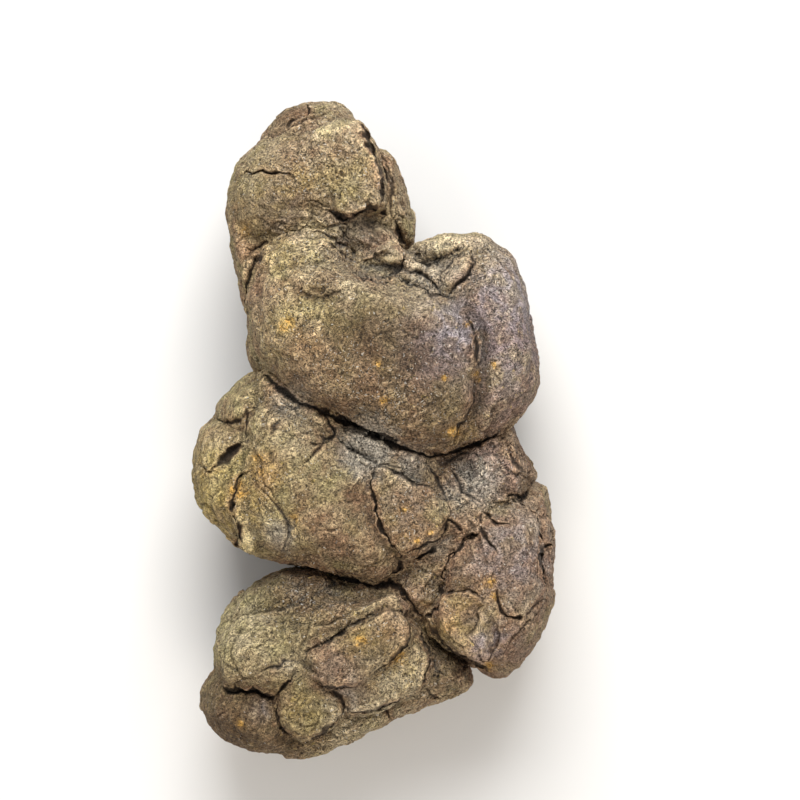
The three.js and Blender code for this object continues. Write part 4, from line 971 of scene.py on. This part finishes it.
def net_mesh(name, net, marks):
    """A closed mesh of the net: one point at each end, four-sided faces between rings, and three-sided faces
    round the ends, all wound so that they face outwards. Marks are numbers kept on its points."""
    rows, around = net.shape[0] - 1, net.shape[1]
    points = np.vstack([net[0, :1], net[1:-1].reshape(-1, 3), net[-1, :1]]) * MM
    ring = np.arange(around)
    after = np.roll(ring, -1)
    base = 1 + around * np.arange(rows - 2)[:, None]
    quads = np.stack([base + ring, base + around + ring, base + around + after, base + after], axis=2)
    last = len(points) - 1
    first_fan = np.column_stack([0 * ring, 1 + ring, 1 + after])
    last_fan = np.column_stack([0 * ring + last, last - around + after, last - around + ring])
    faces = quads.reshape(-1, 4).tolist() + first_fan.tolist() + last_fan.tolist()
    mesh = bpy.data.meshes.new(name)
    mesh.from_pydata(points, [], faces)
    for mark, value in marks.items():
        value = value.reshape(net.shape[:2])
        flat = np.concatenate([value[0, :1], value[1:-1].ravel(), value[-1, :1]])
        mesh.attributes.new(mark, "FLOAT", "POINT").data.foreach_set("value", flat.astype(np.float32))
    mesh.update()
    return mesh


# ---------------------------------------------------------------- colour places

# Where each tone lies on the stone's upper side: the place, its reach in millimetres, how much. Some are
# painted light: the sheen places are a painted grey highlight, the pale places along the great lump's ridge
# and on the lower rim are painted light, and the dark brown places along the lower edges of the great lump
# and the long body are painted shade.
TONES = {
    "olive": [
        ((212, 480), 5.5, 0.8), ((250, 640), 7.5, 1.25), ((250, 200), 4.0, 0.5), ((265, 345), 3.5, 0.4),
        ((312, 708), 3.6, 0.9), ((245, 400), 4.5, 0.7), ((405, 682), 4.5, 0.5), ((265, 535), 4.0, 0.6),
        ((350, 205), 3.0, 0.8), ((305, 450), 5.0, 0.6), ((447, 250), 3.5, 0.6), ((320, 270), 4.0, 0.4),
    ],
    "russet": [
        ((268, 472), 2.0, 0.7), ((243, 492), 1.5, 0.7), ((470, 560), 5.0, 0.8), ((505, 655), 5.0, 0.6),
        ((400, 500), 4.0, 0.5), ((335, 652), 4.0, 0.7), ((395, 612), 3.5, 0.6), ((255, 681), 4.0, 0.6),
        ((245, 698), 2.5, 0.7), ((330, 385), 6.0, 0.8), ((455, 605), 4.0, 0.5), ((520, 455), 4.5, 0.8),
        ((420, 700), 3.5, 0.6), ((305, 178), 4.0, 0.5), ((375, 165), 3.0, 0.5), ((238, 718), 5.0, 0.7),
        ((537, 565), 4.0, 1.3), ((265, 300), 4.0, 0.4), ((385, 540), 4.0, 0.6), ((320, 520), 4.0, 0.5),
        ((420, 590), 3.0, 0.5), ((400, 440), 5.0, 0.6), ((250, 225), 3.0, 0.5),
    ],
    # Pale: partly a paler tone of the stone, partly painted highlight along the great lump's ridge and
    # painted light on the lower rim.
    "pale": [
        ((322, 275), 3.0, 0.7), ((350, 284), 2.6, 0.9), ((385, 294), 2.6, 0.9), ((420, 304), 2.6, 0.9),
        ((450, 316), 2.2, 0.9), ((262, 165), 4.0, 0.5), ((300, 425), 4.0, 0.8), ((345, 450), 2.5, 0.6),
        ((208, 445), 3.0, 0.5), ((255, 628), 4.5, 0.9), ((375, 600), 3.0, 0.4), ((500, 512), 3.0, 0.6),
        ((335, 112), 3.0, 0.5), ((393, 255), 1.2, 0.9), ((450, 246), 3.0, 0.9), ((455, 268), 1.4, 0.9),
        ((300, 245), 3.5, 0.6), ((283, 320), 3.0, 0.4), ((250, 535), 3.0, 0.5), ((350, 728), 3.5, 1.3),
        ((388, 680), 4.0, 1.5), ((405, 704), 3.0, 0.8), ((365, 120), 3.0, 0.7), ((345, 140), 4.0, 0.6),
        ((400, 190), 2.5, 0.7), ((536, 530), 3.0, 0.5), ((322, 165), 3.5, 0.7), ((482, 262), 3.0, 1.1),
        ((356, 182), 3.0, 0.6), ((490, 552), 3.0, 0.3), ((350, 228), 2.5, 0.6), ((418, 694), 3.0, 0.6),
        ((526, 585), 3.5, 0.6), ((386, 231), 1.5, 0.8), ((425, 262), 3.0, 0.9), ((400, 490), 3.0, 0.4),
    ],
    "plum": [
        ((506, 560), 5.5, 0.75), ((508, 325), 7.5, 1.15), ((446, 348), 4.2, 0.9), ((490, 465), 5.0, 0.7),
        ((495, 640), 5.0, 0.5), ((330, 655), 3.0, 0.4), ((360, 235), 4.5, 0.5), ((505, 410), 5.0, 0.6),
        ((480, 262), 4.5, 0.2), ((285, 215), 3.0, 0.5), ((420, 580), 3.5, 0.4), ((410, 503), 2.6, 0.5),
    ],
    "straw": [
        ((222, 500), 5.5, 1.0), ((288, 328), 1.8, 0.7), ((352, 190), 3.2, 0.4), ((264, 470), 2.6, 0.7),
        ((214, 480), 4.5, 0.9), ((462, 612), 3.0, 0.6), ((310, 705), 3.0, 0.4), ((250, 498), 3.0, 0.9),
        ((366, 634), 2.5, 0.5), ((396, 656), 2.5, 0.5), ((305, 188), 2.5, 0.5), ((448, 622), 3.0, 0.4),
        ((285, 255), 3.0, 0.5), ((405, 520), 3.5, 0.2), ((455, 428), 2.0, 0.5), ((266, 196), 4.0, 0.35),
        ((298, 330), 3.5, 0.35),
    ],
    "rust": [
        ((268, 472), 1.5, 0.35), ((289, 328), 0.8, 1.0), ((243, 490), 1.0, 0.8), ((262, 456), 0.9, 0.5),
        ((444, 377), 0.4, 0.9), ((474, 378), 0.5, 1.0), ((466, 326), 0.5, 0.7), ((385, 401), 0.6, 0.7),
        ((377, 364), 0.5, 0.5), ((455, 432), 0.7, 0.7), ((492, 366), 0.6, 0.5), ((487, 578), 0.7, 0.8),
        ((491, 592), 0.6, 0.7), ((448, 622), 0.8, 0.7), ((417, 537), 0.45, 0.8), ((431, 530), 0.35, 0.8),
        ((400, 655), 0.8, 0.7), ((375, 678), 0.7, 0.5), ((245, 718), 0.5, 0.7), ((250, 232), 1.0, 0.4),
        ((363, 636), 0.7, 0.7), ((296, 518), 1.2, 0.4), ((405, 505), 0.5, 0.6), ((488, 662), 0.9, 0.6),
    ],
    "dust": [
        ((370, 446), 3.6, 1.4), ((410, 462), 3.0, 0.9), ((478, 480), 3.5, 0.9), ((300, 582), 2.6, 0.5),
        ((330, 588), 2.6, 0.5), ((296, 402), 3.0, 0.7), ((284, 530), 2.5, 0.8), ((455, 495), 3.0, 0.7),
        ((430, 272), 4.5, 0.7), ((380, 272), 3.0, 0.4), ((290, 660), 2.0, 0.6), ((437, 545), 2.0, 0.7),
        ((440, 660), 3.5, 0.4), ((350, 238), 3.5, 0.5),
    ],
    # Dark brown: partly the stone's own dark brown, as at the foot, and partly painted shade along the lower
    # edges of the great lump and the long body and in the hollow under the great lump.
    "umber_and_shade": [
        ((380, 342), 5.0, 0.9), ((405, 365), 5.5, 1.0), ((440, 405), 6.0, 0.8), ((238, 722), 5.5, 1.3),
        ((408, 515), 4.0, 0.2), ((350, 365), 4.0, 0.7), ((362, 396), 4.0, 0.6), ((300, 388), 2.2, 0.7),
        ((332, 408), 2.0, 0.7), ((370, 424), 2.0, 0.5), ((410, 441), 2.0, 0.7), ((240, 712), 4.0, 1.2),
        ((300, 700), 3.5, 0.3), ((543, 560), 3.0, 0.15), ((385, 416), 4.5, 0.8), ((300, 395), 4.0, 0.6),
        ((335, 748), 3.0, 0.3), ((375, 555), 4.0, 0.4), ((325, 292), 1.6, 0.9), ((470, 655), 4.0, 0.6),
        ((370, 640), 3.5, 0.75), ((312, 708), 3.5, 0.6), ((340, 650), 3.5, 0.25), ((412, 510), 3.0, 0.1),
        ((282, 505), 3.5, 0.25), ((508, 320), 5.0, 0.15), ((210, 480), 4.5, 0.3), ((500, 450), 3.5, 0.6),
        ((285, 738), 3.5, 1.0), ((505, 340), 5.0, 0.5), ((290, 122), 2.0, 0.6), ((465, 460), 3.0, 1.3),
        ((478, 475), 2.5, 0.8), ((302, 588), 4.0, 1.1), ((355, 592), 4.0, 0.6), ((468, 620), 3.0, 0.3),
        ((268, 200), 4.0, 0.28),
    ],
    # Sheen: a painted grey highlight on the great lump's right side, the lobe beside it and a few small
    # places.
    "sheen": [
        ((455, 332), 3.0, 1.0), ((506, 296), 4.0, 0.8), ((541, 565), 2.4, 0.2), ((508, 372), 3.0, 0.4),
        ((487, 634), 1.6, 0.7), ((515, 545), 4.0, 0.4), ((262, 703), 1.0, 0.5), ((350, 690), 2.0, 0.4),
    ],
    "crystals": [
        ((385, 402), 6.0, 0.9), ((345, 385), 4.5, 0.8), ((425, 420), 4.0, 0.8), ((470, 465), 4.5, 1.0),
        ((405, 450), 3.0, 0.7), ((370, 445), 3.0, 0.6), ((320, 168), 5.0, 0.8), ((262, 190), 3.0, 0.3),
        ((480, 265), 4.0, 0.9), ((430, 270), 4.0, 0.6), ((325, 262), 4.5, 0.8), ((300, 590), 3.5, 1.0),
        ((350, 590), 4.0, 0.7), ((290, 405), 4.0, 0.8), ((418, 582), 3.5, 0.7), ((510, 340), 5.5, 0.7),
        ((300, 330), 5.0, 0.6), ((375, 180), 4.0, 0.5), ((410, 670), 3.5, 0.6), ((400, 510), 3.5, 0.5),
        ((450, 345), 3.5, 0.5), ((350, 735), 4.0, 0.5), ((500, 560), 4.0, 0.4), ((265, 490), 3.5, 0.5),
    ],
}

# How much of each tone the hidden side has, in patches.
TONES_BELOW = {"olive": 0.6, "russet": 0.5, "pale": 0.5, "plum": 0.6, "straw": 0.5, "rust": 0.25, "dust": 0.5,
               "umber_and_shade": 0.6, "sheen": 0.2, "crystals": 0.6}


def tone_marks(p, out):
    """Each tone's share at each point: the strongest of its places, much * exp(-(distance / reach)^2), with
    the distances bent by noise. On the hidden side it is a patch where a slow noise is high."""
    bent = p + 0.5 * np.column_stack([ripple(p, 2.4, 161), ripple(p, 2.4, 162), 0 * p[:, 0]])
    up = smooth_step(out[:, 2] + (p[:, 2] - 12) / 12, -0.5, 0.3)
    marks = {}
    for i, (tone, places) in enumerate(TONES.items()):
        drawn = np.max([blob(bent, at, reach) * much for at, reach, much in places], axis=0)
        below = TONES_BELOW[tone] * smooth_step(rough(p, 7.0, 3, 171 + 5 * i), 0.0, 0.5)
        marks[tone] = drawn * up + below * (1 - up)
    return marks


# ---------------------------------------------------------------- finishes

class Signal:
    """A shader socket that can stand in a sum. Each operator adds its Math node."""

    def __init__(self, finish, socket):
        self.finish = finish
        self.socket = socket

    def __add__(self, other):
        return self.finish.maths("ADD", self, other)

    def __mul__(self, other):
        return self.finish.maths("MULTIPLY", self, other)

    def __sub__(self, other):
        return self.finish.maths("SUBTRACT", self, other)

    def __rsub__(self, other):
        return self.finish.maths("SUBTRACT", other, self)

    __radd__ = __add__
    __rmul__ = __mul__


class Finish:
    """A material and the nodes that make it. Lengths in its noises are in millimetres."""

    def __init__(self, name):
        self.material = bpy.data.materials.new(name)
        self.material.use_nodes = True
        self.tree = self.material.node_tree
        self.tree.nodes.clear()

    def node(self, kind, settings=None, inputs=None, out=0):
        """Adds a node. Its settings are set first, then each input gets its value or its link."""
        node = self.tree.nodes.new(kind)
        for key, value in (settings or {}).items():
            setattr(node, key, value)
        for key, value in (inputs or {}).items():
            if isinstance(value, Signal):
                self.tree.links.new(value.socket, node.inputs[key])
            else:
                node.inputs[key].default_value = value
        return Signal(self, node.outputs[out]) if node.outputs else None

    def maths(self, operation, a, b):
        """One number worked out from two others."""
        return self.node("ShaderNodeMath", {"operation": operation}, {0: a, 1: b})

    def mark(self, name):
        """A number kept on the mesh's points."""
        return self.node("ShaderNodeAttribute", {"attribute_name": name}, out="Fac")

    def ramp(self, value, low, high, to_low=0.0, to_high=1.0):
        """The value taken from low..high to to_low..to_high, along 3t^2 - 2t^3."""
        return self.node("ShaderNodeMapRange", {"interpolation_type": "SMOOTHSTEP"},
                         {"Value": value, "From Min": low, "From Max": high, "To Min": to_low,
                          "To Max": to_high})

    def mix(self, share, a, b, blend="MIX"):
        """Colour a, turned into colour b by a share: (1 - share) a + share b."""
        return self.node("ShaderNodeMix", {"data_type": "RGBA", "blend_type": blend},
                         {0: share, 6: a, 7: b}, out=2)

    def noise(self, at, size, detail=3.0, rough=0.55, bend=0.0):
        """Noise with features of a size in millimetres."""
        return self.node("ShaderNodeTexNoise", None,
                         {"Vector": at, "Scale": 1 / size, "Detail": detail, "Roughness": rough,
                          "Distortion": bend})

    def cells(self, at, size, out="Distance"):
        """Cell noise with cells of a size: the distance to the nearest cell's point, or its random colour."""
        return self.node("ShaderNodeTexVoronoi", {"feature": "F1"}, {"Vector": at, "Scale": 1 / size}, out)

    def close(self, inputs):
        """The shader itself, with its sockets, as the material's surface."""
        shader = self.node("ShaderNodeBsdfPrincipled", None, inputs)
        self.node("ShaderNodeOutputMaterial", None, {"Surface": shader})
        return self.material


# The tones, in linear colour.
CREAM = (0.372, 0.280, 0.158, 1)
BROWN = (0.185, 0.118, 0.064, 1)
OLIVE = (0.330, 0.292, 0.119, 1)
RUSSET = (0.290, 0.156, 0.087, 1)
PLUM = (0.205, 0.144, 0.135, 1)
STRAW = (0.430, 0.308, 0.095, 1)
RUST = (0.600, 0.330, 0.070, 1)
DUST = (0.410, 0.370, 0.305, 1)
UMBER_AND_SHADE = (0.112, 0.068, 0.032, 1)
# A grey painted sheen.
PAINTED_SHEEN = (0.330, 0.293, 0.308, 1)
PALE = (0.475, 0.385, 0.240, 1)
WORN_AND_HIGHLIGHT = (0.480, 0.400, 0.250, 1)
# Near-black painted shade for the cracks and the small holes.
PAINTED_SHADE = (0.030, 0.020, 0.013, 1)
SPARK = (0.70, 0.66, 0.58, 1)

# The sizes of the grains and of the small holes between them, and how far the grains are stirred so that
# they don't lie in layers, by a noise of its own size, all in millimetres.
GRAIN_SIZE, HOLE_SIZE = 0.11, 0.55
STIR, STIR_SIZE = 1.2, 0.91

# How much more the grains differ where crystals show, about their mean, and how many more of them spark.
SUGAR_GAIN, SUGAR_MEAN, SPARK_SHARE = 0.55, 0.99, 0.035


def stone_finish():
    """Dull, fine-grained stone. Cream and brown lie in patches, with drifts of russet and olive. The tones
    drawn for each place come over them, broken by the same noise, with rust in flecks, then grey dust in the
    hollows and pale edges, partly wear and partly painted highlight. Of the drawn tones, the grey sheen is a
    painted highlight, the pale one is partly painted highlight on the great lump's ridge and painted light on
    the lower rim, and the dark brown one is partly painted shade under the great lump and the long body.
    Light and dark grains multiply the colour, the grains most where crystals show, and so do painted shade in
    the hollows and deep creases and lightening on edges and proud places, partly painted highlight. Sparks,
    more of them among the crystals, then painted shade in the small holes and in the cracks lie on top. The
    grain is there again as bump."""
    f = Finish("dull fossil stone")
    place = f.node("ShaderNodeTexCoord", out="Object")
    at = f.node("ShaderNodeVectorMath", {"operation": "SCALE"}, {0: place, "Scale": 1 / MM})
    broad = f.noise(at, 4.0, 4, 0.60, 0.6)
    drift = f.noise(at, 3.4, 2, 0.5)
    mottle = f.noise(at, 1.7, 3, 0.50, 0.3)
    fleck = f.noise(at, 0.80, 2, 0.45)
    grit = f.noise(at, 0.26, 2, 0.6)

    plum, sheen, rust = f.mark("plum"), f.mark("sheen"), f.mark("rust")
    colour = f.mix(f.ramp(broad * 0.6 + mottle * 0.4, 0.40, 0.60), CREAM, BROWN)
    colour = f.mix(f.ramp(mottle * 0.5 + broad * 0.5 + plum * 0.04, 0.50, 0.62) * 0.5, colour, RUSSET)
    colour = f.mix(f.ramp(drift, 0.50, 0.66) * 0.5, colour, OLIVE)
    colour = f.mix(f.ramp(drift, 0.50, 0.36) * 0.4, colour, RUSSET)
    colour = f.mix(f.mark("olive") * f.ramp(broad, 0.36, 0.60, 0.85, 0.40), colour, OLIVE)
    colour = f.mix(f.mark("russet") * f.ramp(mottle, 0.38, 0.60, 0.4, 0.9), colour, RUSSET)
    # Pale: partly paler stone, partly painted highlight on the great lump's ridge and painted light on the
    # lower rim.
    colour = f.mix(f.mark("pale") * f.ramp(mottle, 0.38, 0.60, 0.9, 0.4), colour, PALE)
    # Dark brown: partly the stone's own colour, partly painted shade under the great lump and the long body.
    colour = f.mix(f.mark("umber_and_shade") * f.ramp(mottle, 0.36, 0.60, 0.7, 0.95), colour, UMBER_AND_SHADE)
    colour = f.mix(plum * f.ramp(mottle, 0.38, 0.60, 0.90, 0.50), colour, PLUM)
    colour = f.mix(f.mark("straw") * f.ramp(mottle, 0.40, 0.62, 0.2, 0.8), colour, STRAW)
    # Painted highlight: a grey sheen where the sheen mark is drawn. The same mark also lowers the roughness.
    colour = f.mix(sheen * f.ramp(mottle, 0.40, 0.60, 0.85, 0.3), colour, PAINTED_SHEEN)
    colour = f.mix(f.mark("lips") * f.ramp(mottle, 0.42, 0.60, 0.1, 0.8), colour, RUSSET)
    colour = f.mix(rust * 0.40 + f.ramp(rust * f.ramp(fleck, 0.36, 0.62), 0.20, 0.38) * 0.50, colour, RUST)
    colour = f.mix(f.ramp(f.noise(at, 1.0, 3, 0.6), 0.66, 0.74) * 0.6, colour, STRAW)

    hollow, deep, edge = f.mark("hollow"), f.mark("deep"), f.mark("edge")
    low = hollow * 0.2 + deep * 0.4 + f.mark("dust") * 0.9
    colour = f.mix(f.ramp(low + mottle * 0.6, 0.55, 1.35) * 0.85, colour, DUST)
    # Pale edges: partly wear, partly painted highlight.
    colour = f.mix(edge * f.ramp(mottle, 0.40, 0.60, 0.0, 0.20), colour, WORN_AND_HIGHLIGHT)

    stir = f.node("ShaderNodeTexNoise", None, {"Vector": at, "Scale": 1 / STIR_SIZE, "Detail": 1.0}, "Color")
    stir = f.node("ShaderNodeVectorMath", {"operation": "SCALE"}, {0: stir, "Scale": STIR})
    stirred = f.node("ShaderNodeVectorMath", {"operation": "ADD"}, {0: at, 1: stir})
    grain = f.node("ShaderNodeSeparateColor", None, {0: f.cells(stirred, GRAIN_SIZE, "Color")})
    dome = f.cells(stirred, GRAIN_SIZE)
    dark = f.ramp(f.cells(at, HOLE_SIZE), 0.16, 0.36, 1.0, 0.0) * f.ramp(fleck, 0.46, 0.56)
    crystals = f.mark("crystals")
    sugar = f.ramp(grain, 0.0, 0.8, 0.38, 1.39)
    sugar = sugar + crystals * (sugar - SUGAR_MEAN) * SUGAR_GAIN
    shade = f.ramp(grit, 0.32, 0.58, 0.62, 1.16) * sugar
    # Painted shade and light: darker in small hollows and deep creases, lighter on edges, partly wear, and
    # lighter on proud ridges as a painted highlight.
    shade = shade * (1 + 0.50 * edge - 0.35 * hollow) * (0.98 + 0.35 * f.mark("proud") - 0.30 * deep)
    grey = f.node("ShaderNodeCombineColor", None, {0: shade, 1: shade, 2: shade})
    colour = f.mix(1.0, colour, grey, "MULTIPLY")
    colour = f.mix(f.ramp(grain + crystals * SPARK_SHARE, 0.992, 0.999) * 0.7, colour, SPARK)
    # Painted shade: the small holes are painted near-black.
    colour = f.mix(dark * 0.65, colour, PAINTED_SHADE)
    # Painted shade: the cracks are painted near-black.
    colour = f.mix(f.ramp(f.mark("crack"), 0.12, 0.8) * 0.82, colour, PAINTED_SHADE)

    height = grit * 0.36 + fleck * 0.14 - dome * 0.16 - dark * 0.20 + mottle * 0.15
    bump = f.node("ShaderNodeBump", None, {"Height": height, "Distance": MM, "Strength": 1.0})
    rough_skin = 0.88 - sheen * 0.28 - plum * 0.10 + grit * 0.06
    return f.close({"Base Color": colour, "Roughness": rough_skin, "Normal": bump,
                    "Specular IOR Level": 0.35})


def floor_finish():
    """A plain pale matt floor."""
    return Finish("pale floor").close({"Base Color": (0.80, 0.79, 0.77, 1), "Roughness": 0.9,
                                       "Specular IOR Level": 0.2})


# ---------------------------------------------------------------- building

def build_tier(name, axis, lumps, finish):
    """One tier of the stone, a closed surface: its net is laid on its lumps and carved."""
    mesh = net_mesh(name, *carve(lay_net(axis, lumps), lumps))
    mesh.polygons.foreach_set("use_smooth", np.ones(len(mesh.polygons), bool))
    mesh.materials.append(finish)
    tier = bpy.data.objects.new(name, mesh)
    bpy.context.collection.objects.link(tier)
    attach(tier, "root")
    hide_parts("coprolite")


def build_stone():
    """The stone: its tiers, pressed into each other."""
    finish = stone_finish()
    for name, (axis, lumps) in TIERS.items():
        build_tier(name, axis, lumps, finish)


# Half the side of the floor, in metres.
FLOOR_HALF = 1.5


def build_floor():
    """A square of floor under the stone."""
    corners = FLOOR_HALF * np.array([(-1, -1, 0), (1, -1, 0), (1, 1, 0), (-1, 1, 0)])
    mesh = bpy.data.meshes.new("floor")
    mesh.from_pydata(corners, [], [(0, 1, 2, 3)])
    mesh.materials.append(floor_finish())
    floor = bpy.data.objects.new("floor", mesh)
    bpy.context.collection.objects.link(floor)


def aim(thing, place, target):
    """Puts a light at a place and turns its -Z towards the target, with its +Y as upright as it can be."""
    thing.location = place
    thing.rotation_euler = (Vector(target) - Vector(place)).to_track_quat("-Z", "Y").to_euler()


def build_light(name, place, power, size, tint):
    """A square soft light of a power and a tint that looks at the stone."""
    lamp = bpy.data.lights.new(name, "AREA")
    lamp.energy, lamp.size, lamp.color = power, size, tint
    thing = bpy.data.objects.new(name, lamp)
    bpy.context.collection.objects.link(thing)
    aim(thing, place, (0, 0, AXIS_HEIGHT * MM))


# The lights: their place and power, their size, and their tint. The first stands above the small end, and
# the weaker one opposite. Then the tint and the strength of the pale room around them.
LIGHTS = {
    "key": ((0.0, 0.30, 0.33), 2.5, 0.30, (0.98, 0.99, 1.0)),
    "fill": ((0.06, -0.38, 0.40), 1.3, 0.40, (1.0, 0.89, 0.76)),
}
ROOM_TINT, ROOM_STRENGTH = (0.95, 0.97, 1.0, 1), 0.45


def build_studio():
    """Two soft lights and a pale room."""
    for name, light in LIGHTS.items():
        build_light(name, *light)
    world = bpy.data.worlds.new("room")
    world.use_nodes = True
    room = world.node_tree.nodes["Background"].inputs
    room["Color"].default_value, room["Strength"].default_value = ROOM_TINT, ROOM_STRENGTH
    bpy.context.scene.world = world
    bpy.context.scene.view_settings.view_transform = "Standard"


# The camera looks straight down from this height. Its picture is 800 drawing units wide at the level of the
# stone's outline, and its middle is the drawing's.
CAMERA_HEIGHT = 0.45
OUTLINE_HEIGHT = 0.013
PICTURE = 800


def build_camera():
    """The camera above the stone. Its lens is sensor width * distance / picture width."""
    camera = bpy.data.cameras.new("camera")
    camera.sensor_width = 36
    width = PICTURE * UNIT * MM
    camera.lens = camera.sensor_width * (CAMERA_HEIGHT - OUTLINE_HEIGHT) / width
    camera.clip_start = 0.01
    thing = bpy.data.objects.new("camera", camera)
    bpy.context.collection.objects.link(thing)
    middle = plan((PICTURE / 2, PICTURE / 2)) * MM
    thing.location = (middle[0], middle[1], CAMERA_HEIGHT)
    bpy.context.scene.camera = thing


build_camera()
build_studio()
build_floor()
build_stone()
